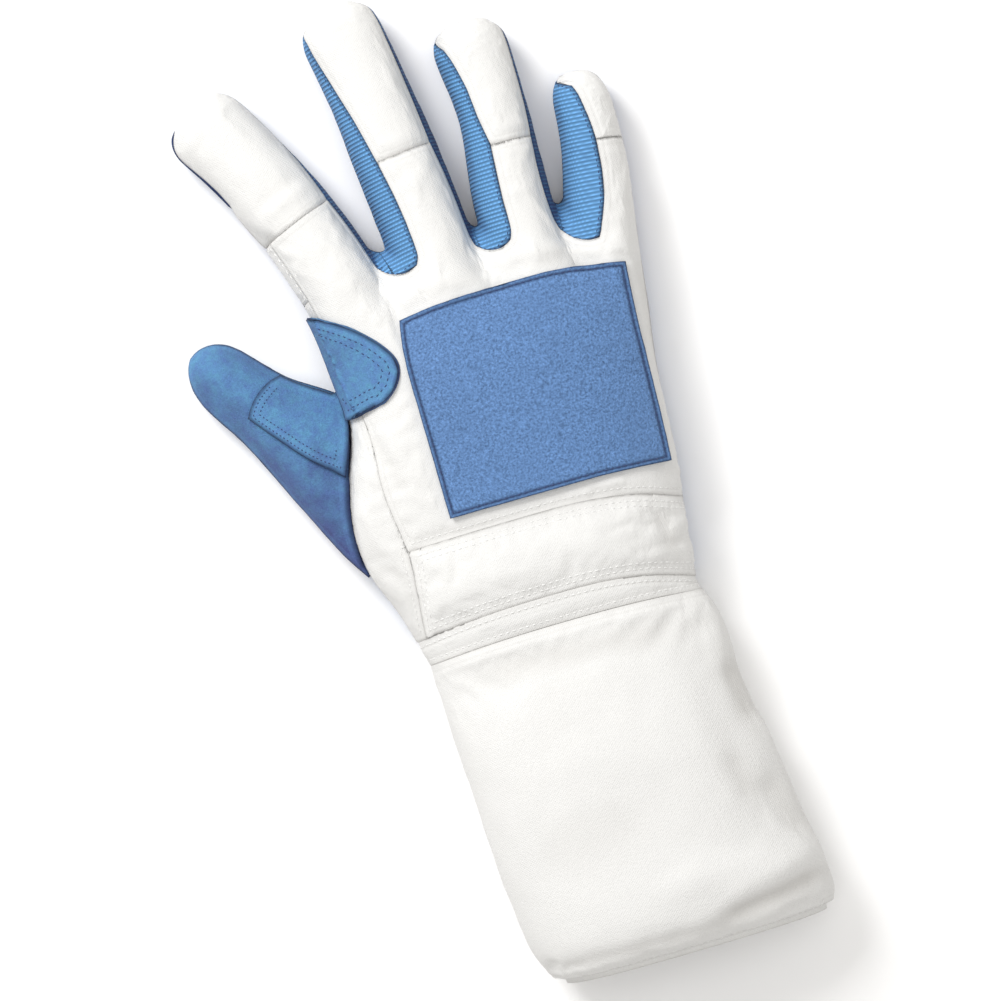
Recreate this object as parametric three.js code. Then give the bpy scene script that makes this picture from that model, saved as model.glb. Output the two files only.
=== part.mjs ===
// A right-hand fencing glove with a long gauntlet cuff, lying palm down and open at the cuff.
// Millimetres. +Z is up from the surface it lies on, +Y runs from the cuff to the fingertips,
// and the thumb is on the -X side. The origin is on that surface, under the middle of the hand.
//
// The glove is one soft body: a flattened tube for the hand and cuff, four finger tubes and a thumb.
// Each sewn panel is a stretch of that body's skin with its own wall thickness, so neighbouring
// panels share their seam line and keep the seam gap between them.
import * as THREE from 'three';

const { lerp, clamp, smoothstep, degToRad, radToDeg } = THREE.MathUtils;

// Hand and cuff
const palmWidth = 114;
const handThickness = 36;
const knuckleY = 58;
const handLength = 134;
const cuffLength = 114.5;
const cuffWidth = 104;
const cuffThickness = 44;
const sideLevel = 11;
const palmEdgeRadius = 13;

// Walls of the padded cloth, suede, knitted mesh and felt, and the gap that a seam leaves
const backWall = 2.6;
const tipWall = 2.4;
const bandWall = 3;
const bindingWall = 2;
const cuffWall = 3;
const hemWall = 1.2;
const suedeWall = 1.4;
const meshWall = 1.2;
const feltWall = 1.5;
const seamGap = 0.3;

// Wrist seams: where they cross the hand's axis, as shares of handLength behind the knuckles
const bandTopShare = 0.724;
const bandBottomShare = 0.928;

// Back patch
const patchLeft = -27.3;
const patchFront = 34.6;
const patchRear = -33;
const patchWidth = 76;
const patchTaper = 3;
const patchBow = 3;
const patchGap = 1;
const crotchPatchGap = 0.9;

// Crotch patch between thumb and index finger
const crotchPatchReach = 22;
const crotchPatchHeight = 36.4;
const crotchPatchFront = 44.2;

// Thumb
const thumbLength = 70.5;
const thumbHalf = 20;
const thumbThickness = 21;
const thumbLevel = 9;
const thumbHeading = 36.8;
const thumbCrotchY = 17.8;
const thumbHeelY = -44.6;
const thumbBaseRise = 8;

// Cuff mouth
const hemShow = 2.2;

// Roundness of the sections: 2 is an ellipse, and more is squarer
const handSquareness = 2.5;
const fingerSquareness = 2.3;
const tipSquareness = 2.4;

const webColumns = 5;
const fingerLevel = 9;
const fingerEdgeRadius = 6;
const fingerTipRound = 13;
const knuckleFade = 30;
const webSagTop = 5.5;
const webSagPalm = 2;
const tipShares = [0.3, 0.55, 0.75, 0.9, 1];

const cuffSeamY = knuckleY - handLength;
const bandTop = bandTopShare * handLength;
const bandBottom = bandBottomShare * handLength;

// How many rows of facets the back of the hand and the wrist band have
const handRows = 10;
const bandRows = 4;

// The hand's sections. `along` is a share of handLength behind the knuckles, `left` and `right`
// are shares of half the palm's width, `crown` of handThickness, and `seam` is where the
// thumb-side seam lies on the left half.
const handSections = [
  { along: 0, left: 1.042, right: 1.05, crown: 0.86, seam: 0.958 },
  { along: 0.075, left: 1.004, right: 1.033, crown: 0.92, seam: 0.958 },
  { along: 0.149, left: 0.958, right: 1.007, crown: 0.96, seam: 0.956 },
  { along: 0.224, left: 0.933, right: 0.988, crown: 0.985, seam: 0.945 },
  { along: 0.299, left: 0.916, right: 0.97, crown: 1, seam: 0.935 },
  { along: 0.373, left: 0.895, right: 0.94, crown: 1, seam: 0.925 },
  { along: 0.448, left: 0.935, right: 0.916, crown: 1, seam: 0.872 },
  { along: 0.537, left: 1.009, right: 0.898, crown: 0.985, seam: 0.823 },
  { along: 0.627, left: 1.058, right: 0.891, crown: 0.97, seam: 0.778 },
  { along: 0.701, left: 1.067, right: 0.877, crown: 0.985, seam: 0.743 },
  { along: 0.769, left: 1.046, right: 0.856, crown: 1, seam: 0.755 },
  { along: 0.843, left: 0.97, right: 0.825, crown: 1.03, seam: 0.835 },
  { along: 0.918, left: 0.912, right: 0.812, crown: 1.015, seam: 0.904 },
  { along: 1, left: 0.867, right: 0.789, crown: 0.975, seam: 0.96 },
];

// The cuff's sections. `along` is a share of cuffLength behind the cuff seam, `left` and `right`
// are shares of half the cuff's width from the hand's axis, and `crown` of cuffThickness.
const cuffSections = [
  { along: 0, left: 0.95, right: 0.865, crown: 0.8 },
  { along: 0.04, left: 0.934, right: 0.91, crown: 0.84 },
  { along: 0.11, left: 0.924, right: 0.946, crown: 0.83 },
  { along: 0.22, left: 0.925, right: 0.958, crown: 0.885 },
  { along: 0.37, left: 0.908, right: 0.992, crown: 0.93 },
  { along: 0.56, left: 0.88, right: 1.065, crown: 0.955 },
  { along: 0.71, left: 0.855, right: 1.115, crown: 0.975 },
  { along: 0.81, left: 0.835, right: 1.146, crown: 0.99 },
  { along: 0.89, left: 0.81, right: 1.19, crown: 1 },
  { along: 0.955, left: 0.76, right: 1.196, crown: 0.95 },
  { along: 1, left: 0.72, right: 1.165, crown: 0.85 },
];

// The fingers. `across` is a share of half the palm's width and `back` of handLength, headings are
// degrees to the left of +Y at root and tip, and `webLeft` and `webRight` are how far along the
// finger the palm side starts. `leftGussetRows` and `rightGussetRows` say at which of the finger's
// rows each mesh gusset ends, with 0 for a side without one. In `sections`, `at` is a share of the
// length, `left` and `right` of the half width, `crown` of the thickness, and `whiteLeft` and
// `whiteRight` say how far across the white panel reaches before the gusset or side strip.
const fingers = {
  index: {
    across: -0.74, back: 0.037, length: 78, half: 14.2, thickness: 27,
    rootHeading: 16.7, tipHeading: 34, crossSeam: 0.31, webLeft: 0, webRight: 6,
    leftGussetRows: 0, rightGussetRows: 5,
    sections: [
      { at: 0, left: 1.03, right: 1, crown: 1.12, whiteLeft: -0.84, whiteRight: 0.9 },
      { at: 0.15, left: 1.03, right: 1, crown: 1.07, whiteLeft: -0.84, whiteRight: 0.9 },
      { at: 0.31, left: 1, right: 1, crown: 1.02, whiteLeft: -0.84, whiteRight: 0.88 },
      { at: 0.5, left: 0.98, right: 0.98, crown: 0.95, whiteLeft: -1, whiteRight: 0.88 },
      { at: 0.62, left: 0.96, right: 0.96, crown: 0.9, whiteLeft: -1, whiteRight: 0.94 },
      { at: 0.83, left: 1.03, right: 0.95, crown: 0.84, whiteLeft: -1, whiteRight: 1 },
      { at: 1, left: 1.12, right: 0.93, crown: 0.8, whiteLeft: -1, whiteRight: 1 },
    ],
  },
  middle: {
    across: -0.167, back: 0.0276, length: 89.5, half: 14.5, thickness: 28,
    rootHeading: 4.5, tipHeading: 9.5, crossSeam: 0.38, webLeft: 7.5, webRight: 7,
    leftGussetRows: 9, rightGussetRows: 9,
    sections: [
      { at: 0, left: 1, right: 1, crown: 1.12, whiteLeft: -0.34, whiteRight: 0.9 },
      { at: 0.2, left: 1.01, right: 1.01, crown: 1.05, whiteLeft: -0.35, whiteRight: 0.9 },
      { at: 0.38, left: 1.01, right: 1.01, crown: 0.98, whiteLeft: -0.45, whiteRight: 0.84 },
      { at: 0.58, left: 0.96, right: 0.96, crown: 0.92, whiteLeft: -0.61, whiteRight: 0.9 },
      { at: 0.7, left: 0.95, right: 0.95, crown: 0.88, whiteLeft: -0.74, whiteRight: 0.92 },
      { at: 0.85, left: 0.98, right: 0.94, crown: 0.83, whiteLeft: -0.84, whiteRight: 0.94 },
      { at: 1, left: 0.97, right: 0.94, crown: 0.8, whiteLeft: -0.93, whiteRight: 0.96 },
    ],
  },
  ring: {
    across: 0.361, back: 0.0336, length: 73, half: 13.2, thickness: 27,
    rootHeading: -1, tipHeading: -1, crossSeam: 0.4, webLeft: 6.3, webRight: 7,
    leftGussetRows: 9, rightGussetRows: 9,
    sections: [
      { at: 0, left: 1, right: 1, crown: 1.12, whiteLeft: -0.23, whiteRight: 0.86 },
      { at: 0.2, left: 1, right: 1, crown: 1.05, whiteLeft: -0.25, whiteRight: 0.8 },
      { at: 0.4, left: 0.87, right: 1, crown: 0.98, whiteLeft: -0.21, whiteRight: 0.86 },
      { at: 0.57, left: 0.79, right: 1, crown: 0.92, whiteLeft: -0.45, whiteRight: 0.92 },
      { at: 0.75, left: 0.92, right: 0.97, crown: 0.87, whiteLeft: -0.48, whiteRight: 0.93 },
      { at: 0.88, left: 1.02, right: 0.96, crown: 0.83, whiteLeft: -0.73, whiteRight: 0.94 },
      { at: 1, left: 1.07, right: 0.97, crown: 0.8, whiteLeft: -0.98, whiteRight: 0.96 },
    ],
  },
  little: {
    across: 0.826, back: 0.0896, length: 54.7, half: 11.6, thickness: 24,
    rootHeading: -7.5, tipHeading: -4, crossSeam: 0.54, webLeft: 14, webRight: 0,
    leftGussetRows: 10, rightGussetRows: 0,
    sections: [
      { at: 0, left: 1.02, right: 1, crown: 1.15, whiteLeft: -0.05, whiteRight: 1 },
      { at: 0.2, left: 1.01, right: 1.02, crown: 1.08, whiteLeft: 0.2, whiteRight: 1 },
      { at: 0.38, left: 0.89, right: 1.05, crown: 1, whiteLeft: 0.24, whiteRight: 1 },
      { at: 0.56, left: 0.8, right: 1, crown: 0.94, whiteLeft: 0.22, whiteRight: 1 },
      { at: 0.74, left: 0.79, right: 0.93, crown: 0.88, whiteLeft: 0.08, whiteRight: 1 },
      { at: 0.88, left: 0.82, right: 0.86, crown: 0.83, whiteLeft: -0.16, whiteRight: 1 },
      { at: 1, left: 0.86, right: 0.84, crown: 0.8, whiteLeft: -0.9, whiteRight: 1 },
    ],
  },
};
const fingerOrder = ['index', 'middle', 'ring', 'little'];

// The thumb's sections, from the opening in the hand to the tip. Places along the thumb are
// shares of thumbLength from the middle of the opening, and `upper` and `lower` edges are shares
// of thumbHalf on either side of its centreline. `crown` is a share of thumbThickness.
const thumbSections = [
  { row: 0, upperAt: 0.336, upper: 1.065, lowerAt: -0.323, lower: -1.08, crown: 0.81 },
  { row: 0.14, upperAt: 0.411, upper: 0.97, lowerAt: -0.17, lower: -1.06, crown: 0.95 },
  { row: 0.28, upperAt: 0.489, upper: 0.86, lowerAt: 0, lower: -0.95, crown: 1 },
  { row: 0.42, upperAt: 0.567, upper: 0.765, lowerAt: 0.184, lower: -0.83, crown: 0.98 },
  { row: 0.56, upperAt: 0.66, upper: 0.705, lowerAt: 0.383, lower: -0.68, crown: 0.94 },
  { row: 0.7, upperAt: 0.759, upper: 0.67, lowerAt: 0.582, lower: -0.56, crown: 0.88 },
  { row: 0.82, upperAt: 0.851, upper: 0.62, lowerAt: 0.752, lower: -0.535, crown: 0.84 },
  { row: 0.9, upperAt: 0.922, upper: 0.52, lowerAt: 0.858, lower: -0.465, crown: 0.78 },
  { row: 0.96, upperAt: 0.979, upper: 0.31, lowerAt: 0.943, lower: -0.28, crown: 0.66 },
  { row: 1, upperAt: 1, upper: 0, lowerAt: 1, lower: 0, crown: thumbLevel / thumbThickness },
];

// Curved seams across the wrist: how far the line falls back at the thumb edge and the other edge
const bandTopCurve = { drop: 1.5, dropRight: 8 };
const bandBottomCurve = { drop: 3.5, dropRight: 7.5 };
const cuffSeamCurve = { drop: 2.4, dropRight: 2.4 };

const white = { color: 0xf4f3f1, roughness: 0.85 };
const suedeBlue = { color: 0x4f86c4, roughness: 0.95 };
const meshBlue = { color: 0x4c92d6, roughness: 0.7 };
const feltBlue = { color: 0x4f79b8, roughness: 1 };

// Dents in the upper skin of the hand and of the cuff. `at` is a share of handLength behind the
// knuckles or of cuffLength behind the cuff seam, and `reach` is how far it spreads along Y as a
// share of the same length. `turn` and `reachTurn` are degrees round the section, and `depth` is a
// share of handThickness or cuffThickness. A negative depth is a swelling.
const handDents = [
  { at: 0.821, reach: 0.075, turn: 56, reachTurn: 16, depth: 0.044 },
];
const cuffDents = [
  { at: 0.14, reach: 0.131, turn: 2, reachTurn: 42, depth: 0.055 },
  { at: 0.314, reach: 0.297, turn: 50, reachTurn: 11, depth: 0.059 },
  { at: 0.367, reach: 0.349, turn: 74, reachTurn: 12, depth: -0.027 },
  { at: 0.716, reach: 0.14, turn: 48, reachTurn: 18, depth: 0.041 },
  { at: 0.856, reach: 0.061, turn: 44, reachTurn: 30, depth: -0.032 },
  { at: 0.961, reach: 0.061, turn: 52, reachTurn: 30, depth: 0.05 },
];

// The value of a column at a place in a table, on a smooth curve through its rows.
function lookUp(table, key, name, at) {
  const last = table.length - 1;
  const place = clamp(at, table[0][key], table[last][key]);
  let i = 0;
  while (i < last - 1 && place > table[i + 1][key]) i += 1;
  const slope = (j) => {
    const a = table[Math.max(j - 1, 0)];
    const b = table[Math.min(j + 1, last)];
    return (b[name] - a[name]) / (b[key] - a[key]);
  };
  const from = table[i];
  const to = table[i + 1];
  const span = to[key] - from[key];
  const t = (place - from[key]) / span;
  const t2 = t * t;
  const t3 = t2 * t;
  return (2 * t3 - 3 * t2 + 1) * from[name] + (t3 - 2 * t2 + t) * span * slope(i)
    + (3 * t2 - 2 * t3) * to[name] + (t3 - t2) * span * slope(i + 1);
}

// The turn, in degrees, at which a section's edge lies this share of the way across.
function turnAt(share, squareness) {
  return Math.sign(share) * radToDeg(Math.asin(Math.abs(clamp(share, -1, 1)) ** (squareness / 2)));
}

// How the thumb's opening lifts the hand's edge: 0 at the crotch and heel, 1 between them.
function thumbArch(share) {
  return Math.sin(Math.PI * clamp(share, 0, 1)) ** 0.9;
}

function openingShare(y) {
  return (thumbCrotchY - y) / (thumbCrotchY - thumbHeelY);
}

// The size of the hand and cuff tube at a place along Y.
function bodySection(y) {
  const behind = knuckleY - y;
  const opening = thumbArch(openingShare(y));
  const common = { levelRight: sideLevel, levelLeft: sideLevel + thumbBaseRise * opening, opening };
  if (behind <= handLength) {
    const at = behind / handLength;
    return {
      ...common,
      left: lookUp(handSections, 'along', 'left', at) * palmWidth / 2,
      right: lookUp(handSections, 'along', 'right', at) * palmWidth / 2,
      crown: lookUp(handSections, 'along', 'crown', at) * handThickness,
      seam: lookUp(handSections, 'along', 'seam', at),
    };
  }
  const at = (behind - handLength) / cuffLength;
  return {
    ...common,
    left: lookUp(cuffSections, 'along', 'left', at) * cuffWidth / 2,
    right: lookUp(cuffSections, 'along', 'right', at) * cuffWidth / 2,
    crown: lookUp(cuffSections, 'along', 'crown', at) * cuffThickness,
    seam: 1,
  };
}

// How far one table's dents push the skin in, at a share along it and a turn.
function dentsAt(dents, at, turn) {
  return dents.reduce((sum, dent) => {
    const along = (at - dent.at) / dent.reach;
    const around = (turn - dent.turn) / dent.reachTurn;
    return sum + dent.depth * Math.exp(-(along ** 2) - around ** 2);
  }, 0);
}

// How far the dents push the upper skin in at a place.
function dentAt(y, turn) {
  return dentsAt(handDents, (knuckleY - y) / handLength, turn) * handThickness
    + dentsAt(cuffDents, (cuffSeamY - y) / cuffLength, turn) * cuffThickness;
}

// A point of the hand and cuff's upper skin. `turn` is -90 at the thumb edge, 0 on top and 90 at
// the little-finger edge, and `depth` is how far inside the outer face the point lies.
function backSkin(y, turn, wallDepth) {
  const section = bodySection(y);
  const depth = wallDepth + dentAt(y, turn);
  const sin = Math.sin(degToRad(turn));
  const cos = Math.max(0, Math.cos(degToRad(turn)));
  const half = sin < 0 ? section.left : section.right;
  const level = (sin < 0 ? section.levelLeft : section.levelRight) + seamGap / 2;
  const power = 2 / handSquareness;
  return new THREE.Vector3(
    Math.sign(sin) * Math.abs(sin) ** power * (half - depth),
    y,
    level + (section.crown - depth - level) * cos ** power,
  );
}

// A point of an underside that is flat in the middle and curls up at both edges. `across` is
// -1 to 1 on the flat part, and goes on to -2 and 2 up each edge.
function undersidePoint(across, half, edgeRadius, level, depth) {
  const flatHalf = half - edgeRadius;
  if (Math.abs(across) <= 1) return { x: across * flatHalf, z: depth };
  const angle = degToRad(90 * (Math.abs(across) - 1));
  const normal = new THREE.Vector2(-level * Math.sin(angle), edgeRadius * Math.cos(angle));
  normal.normalize().multiplyScalar(depth);
  return {
    x: Math.sign(across) * (flatHalf + edgeRadius * Math.sin(angle) + normal.x),
    z: level * (1 - Math.cos(angle)) + normal.y,
  };
}

// A point of the hand and cuff's underside, which lies flat on the table. Beside the thumb's
// opening its edge stays down, so that the opening runs from the table to the back of the hand.
function palmSkin(y, across, depth) {
  const section = bodySection(y);
  const half = across < 0 ? section.left : section.right;
  const edge = sideLevel - seamGap / 2;
  const level = across < 0 ? edge * (1 - undersideArch(section.opening)) : edge;
  const { x, z } = undersidePoint(across, half, palmEdgeRadius, level, depth);
  return new THREE.Vector3(x, y, z);
}

// The underside follows the thumb's opening more squarely than the back does.
function undersideArch(opening) {
  return opening ** 0.35;
}

// A finger's centreline: where it is at a distance from the root, and its sideways direction.
function fingerFrame(finger, along) {
  const bend = finger.tipHeading - finger.rootHeading;
  const share = along / finger.length;
  const chord = degToRad(finger.rootHeading + bend * share / 2);
  const heading = degToRad(finger.rootHeading + bend * share);
  const root = new THREE.Vector2(finger.across * palmWidth / 2, knuckleY - finger.back * handLength);
  return {
    place: root.add(new THREE.Vector2(-Math.sin(chord), Math.cos(chord)).multiplyScalar(along)),
    side: new THREE.Vector2(Math.cos(heading), Math.sin(heading)),
  };
}

// How much of its width and height a finger still has near the tip.
function tipTaper(finger, along) {
  const into = clamp((along - finger.length + fingerTipRound) / fingerTipRound, 0, 1);
  return (1 - into ** tipSquareness) ** (1 / tipSquareness);
}

function fingerPoint(finger, along, depth, offset, z) {
  const { place, side } = fingerFrame(finger, along * (1 - depth / finger.length));
  place.addScaledVector(side, offset);
  return new THREE.Vector3(place.x, place.y, z);
}

// A point of a finger's upper skin. `turn` runs from -90 at its left edge to 90 at its right edge.
function fingerSkin(finger, along, turn, depth) {
  const at = along / finger.length;
  const sin = Math.sin(degToRad(turn));
  const cos = Math.max(0, Math.cos(degToRad(turn)));
  const taper = tipTaper(finger, along);
  const half = lookUp(finger.sections, 'at', sin < 0 ? 'left' : 'right', at) * finger.half;
  const crown = lookUp(finger.sections, 'at', 'crown', at) * finger.thickness;
  const level = fingerLevel + seamGap / 2;
  const power = 2 / fingerSquareness;
  const offset = Math.sign(sin) * Math.abs(sin) ** power * (half - depth) * taper;
  return fingerPoint(finger, along, depth, offset, level + (crown - depth - level) * taper * cos ** power);
}

// A point of a finger's palm side. `across` is as in undersidePoint.
function fingerFront(finger, along, across, depth) {
  const at = along / finger.length;
  const half = lookUp(finger.sections, 'at', across < 0 ? 'left' : 'right', at) * finger.half;
  const level = fingerLevel - seamGap / 2;
  const taper = tipTaper(finger, along);
  const { x, z } = undersidePoint(across, half, fingerEdgeRadius, level, depth);
  return fingerPoint(finger, along, depth, x * taper, level - (level - z) * taper);
}

// The rows that all panels of a finger share, as distances from the root when the panel starts
// at `start`: three up to the cross seam, three on to where the tip rounds off, and the tip's.
function fingerRows(finger, start = 0) {
  const cap = finger.length - fingerTipRound;
  const seam = finger.crossSeam * finger.length / cap;
  const straight = [0, seam / 3, seam * 2 / 3, seam, lerp(seam, 1, 1 / 3), lerp(seam, 1, 2 / 3), 1];
  return [
    ...straight.map((share) => lerp(start, cap, share)),
    ...tipShares.map((share) => cap + share * fingerTipRound),
  ];
}

const crossSeamRow = 3;

// The turn at which the white panel ends on one side of a finger. Over the gusset's last two rows
// it closes over the gusset.
function whiteEdge(finger, along, side) {
  const name = side < 0 ? 'whiteLeft' : 'whiteRight';
  const gussetRows = side < 0 ? finger.leftGussetRows : finger.rightGussetRows;
  const turn = turnAt(lookUp(finger.sections, 'at', name, along / finger.length), fingerSquareness);
  if (gussetRows === 0) return turn;
  const rows = fingerRows(finger);
  const [from, to] = [rows[gussetRows - 2], rows[gussetRows]];
  return lerp(turn, 90 * side, clamp((along - from) / (to - from), 0, 1));
}

// A point on the side of a finger between the white panel's edge (level 0) and the palm (level 1).
function fingerSide(finger, side, along, level, depth) {
  const gapTurn = radToDeg(seamGap / finger.half) * side;
  const start = whiteEdge(finger, along, side) + gapTurn;
  return fingerSkin(finger, along, lerp(start, 90 * side, level), depth);
}

// Where a finger's side starts at its root: further along on the palm side than on the back.
function sideStart(finger, side, level) {
  return level * (side < 0 ? finger.webLeft : finger.webRight);
}

// A point of the web between two fingers: a sagging curve from a point of one finger to a point
// of the next, at level 0 on the back and level 1 on the palm side.
function webPoint(a, b, share, level, depth) {
  const angle = Math.PI * share;
  const sag = lerp(webSagTop, webSagPalm, level) + depth * lerp(0.8, 1, level);
  const point = a.clone().lerp(b, (1 - Math.cos(angle)) / 2);
  point.y -= sag * Math.sin(angle);
  return point;
}

// A sewn panel: sheets of skin points, each held at the outer and the inner face, that close
// into one solid with a rim along every free edge.
class Panel {
  constructor(outerDepth, innerDepth) {
    this.depths = [outerDepth, innerDepth];
    this.faces = [[], []];
    this.triangles = [];
  }

  point(at) {
    this.depths.forEach((depth, face) => this.faces[face].push(at(depth)));
    return this.faces[0].length - 1;
  }

  grid(rows, columns, at) {
    return Array.from({ length: rows + 1 }, (_, i) => (
      Array.from({ length: columns + 1 }, (_, j) => this.point((depth) => at(i, j, depth)))
    ));
  }

  cover(grid, closed = false) {
    const columns = grid[0].length;
    for (let i = 0; i + 1 < grid.length; i += 1) {
      for (let j = 0; j + 1 < columns + (closed ? 1 : 0); j += 1) {
        const next = (j + 1) % columns;
        const [a, b, c, d] = [grid[i][j], grid[i][next], grid[i + 1][next], grid[i + 1][j]];
        this.triangles.push([a, b, c], [a, c, d]);
      }
    }
    return this;
  }

  solid() {
    const count = this.faces[0].length;
    const skin = this.triangles.filter(([a, b, c]) => a !== b && b !== c && c !== a);
    const edges = new Set(skin.flatMap(([a, b, c]) => [`${a},${b}`, `${b},${c}`, `${c},${a}`]));
    const rim = [...edges].map((edge) => edge.split(',').map(Number))
      .filter(([a, b]) => !edges.has(`${b},${a}`))
      .flatMap(([a, b]) => [[b, a, a + count], [b, a + count, b + count]]);
    const inner = skin.map(([a, b, c]) => [c + count, b + count, a + count]);
    const faces = [...skin, ...rim, ...inner];
    const points = [...this.faces[0], ...this.faces[1]];
    const volume = faces.reduce((sum, [a, b, c]) => (
      sum + points[a].dot(new THREE.Vector3().crossVectors(points[b], points[c]))
    ), 0);
    const index = faces.flatMap(([a, b, c]) => (volume < 0 ? [c, b, a] : [a, b, c]));
    const geometry = new THREE.BufferGeometry().setFromPoints(points);
    geometry.setIndex(index);
    geometry.computeVertexNormals();
    return geometry;
  }
}

function piece(name, panel, finish) {
  const mesh = new THREE.Mesh(panel.solid(), new THREE.MeshStandardMaterial({ ...finish, metalness: 0 }));
  mesh.name = name;
  return mesh;
}

// A seam across the wrist: its Y at a share of the way from the hand's axis to either edge.
function seamLine(behind, curve, turn) {
  const share = Math.sin(degToRad(turn));
  const drop = share < 0 ? curve.drop : curve.dropRight;
  return knuckleY - behind - drop * share * share;
}

const seamTurn = (y) => turnAt(-bodySection(y).seam, handSquareness);

// The ends of the wrist band's seam with the thumb-side panel.
const bandFront = seamLine(bandTop, bandTopCurve, seamTurn(knuckleY - bandTop));
const bandRear = seamLine(bandBottom, bandBottomCurve, seamTurn(knuckleY - bandBottom));
const indexRootY = fingerBack(fingers.index, 0, 0, 0).y;

// Where each row meets the seam between the back and the thumb-side panel.
function seamPlace(row) {
  if (row <= handRows) return lerp(indexRootY, bandFront, row / handRows);
  return lerp(bandFront, bandRear, (row - handRows) / bandRows);
}

// A sheet of the hand behind its front row of points. The front row's shape fades into the plain
// hand over knuckleFade, `placeOf` gives a point's place along Y and `turnOf` its turn.
function handGrid(panel, rows, front, placeOf, turnOf) {
  const outer = front.map((at) => at(0));
  return panel.grid(rows, front.length - 1, (i, j, depth) => {
    const start = outer[j].y;
    const y = placeOf(i, j, start);
    const turn = turnOf(i, j);
    const offset = front[j](depth).sub(backSkin(start, turnOf(0, j), depth));
    const kept = 1 - smoothstep(start - y, 0, knuckleFade);
    return backSkin(y, turn, depth).addScaledVector(offset, kept);
  });
}

// Back of the hand: four finger backs, the crotches between them and the hand behind them.
function backPanel() {
  const panel = new Panel(0, backWall);
  const fingerColumns = 5;
  const front = [];
  const starts = {};
  fingerOrder.forEach((name, k) => {
    const finger = fingers[name];
    starts[name] = front.length;
    for (let j = 0; j <= fingerColumns; j += 1) {
      front.push((depth) => fingerBack(finger, 0, j / fingerColumns, depth));
    }
    if (k === fingerOrder.length - 1) return;
    const next = fingers[fingerOrder[k + 1]];
    for (let j = 1; j < webColumns; j += 1) {
      front.push((depth) => {
        const [a, b] = [fingerBack(finger, 0, 1, depth), fingerBack(next, 0, 0, depth)];
        const point = webPoint(a, b, j / webColumns, 0, depth);
        point.y -= 1.3 * seamGap;
        return point;
      });
    }
  });
  const last = front.length - 1;
  const frontShares = front.map((at) => {
    const point = at(0);
    const section = bodySection(point.y);
    const share = point.x / (point.x < 0 ? section.left : section.right);
    const edge = seamTurn(indexRootY);
    return clamp((turnAt(share, handSquareness) - edge) / (90 - edge), 0, 1);
  });
  frontShares[0] = 0;
  frontShares[last] = 1;
  const turnOf = (i, j) => (
    lerp(seamTurn(seamPlace(i)), 90, lerp(frontShares[j], j / last, i / handRows))
  );
  const rear = (j) => seamLine(bandTop, bandTopCurve, turnOf(handRows, j)) + seamGap / 2;
  const placeOf = (i, j, start) => lerp(start, rear(j), i / handRows);
  const hand = handGrid(panel, handRows, front, placeOf, turnOf);
  panel.cover(hand);
  for (const name of fingerOrder) {
    const finger = fingers[name];
    const places = fingerRows(finger).slice(1, crossSeamRow + 1);
    places[crossSeamRow - 1] -= seamGap / 2;
    const root = hand[0].slice(starts[name], starts[name] + fingerColumns + 1);
    const rest = panel.grid(places.length - 1, fingerColumns, (i, j, depth) => (
      fingerBack(finger, places[i], j / fingerColumns, depth)
    ));
    panel.cover([...rest.reverse(), root]);
  }
  return piece('back_panel', panel, white);
}

// A point of a finger's white back, at a share of the way between its two edges.
function fingerBack(finger, along, share, depth) {
  const turn = lerp(whiteEdge(finger, along, -1), whiteEdge(finger, along, 1), share);
  return fingerSkin(finger, along, turn, depth);
}

// The padded panel over the outer end of a finger, closed at the tip.
function tipPanel(name) {
  const finger = fingers[name];
  const panel = new Panel(0, tipWall);
  const columns = 8;
  const places = fingerRows(finger).slice(crossSeamRow);
  places[0] += seamGap / 2;
  const grid = panel.grid(places.length - 2, columns, (i, j, depth) => (
    fingerBack(finger, places[i], j / columns, depth)
  ));
  const tip = panel.point((depth) => fingerSkin(finger, finger.length, 0, depth));
  grid.push(Array(columns + 1).fill(tip));
  panel.cover(grid);
  return piece(`${name}_tip_panel`, panel, white);
}

// The mesh gusset between two fingers: down one finger's side, round the web and up the next,
// with a pointed end on each finger.
function gusset(fromName, toName) {
  const panel = new Panel(0, meshWall);
  const columns = 3;
  const pointed = 0.5;
  const side = (name, facing) => {
    const finger = fingers[name];
    const rows = facing < 0 ? finger.leftGussetRows : finger.rightGussetRows;
    const at = (i, level, depth) => {
      const place = fingerRows(finger, sideStart(finger, facing, level))[i];
      return fingerSide(finger, facing, place, level, depth);
    };
    const sheet = panel.grid(rows - 1, columns, (i, j, depth) => at(i, j / columns, depth));
    const ends = fingerRows(finger).slice(rows - 1, rows + 1);
    const place = lerp(...ends, pointed);
    const tip = panel.point((depth) => fingerSkin(finger, place, 90 * facing, depth));
    return { at, sheet: [...sheet, Array(columns + 1).fill(tip)] };
  };
  const from = side(fromName, 1);
  const to = side(toName, -1);
  const web = panel.grid(webColumns - 2, columns, (i, j, depth) => {
    const level = j / columns;
    const ends = [from.at(0, level, depth), to.at(0, level, depth)];
    return webPoint(...ends, (i + 1) / webColumns, level, depth);
  });
  panel.cover([...from.sheet.reverse(), ...web, ...to.sheet]);
  return piece(`${fromName}_${toName}_gusset`, panel, meshBlue);
}

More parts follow.
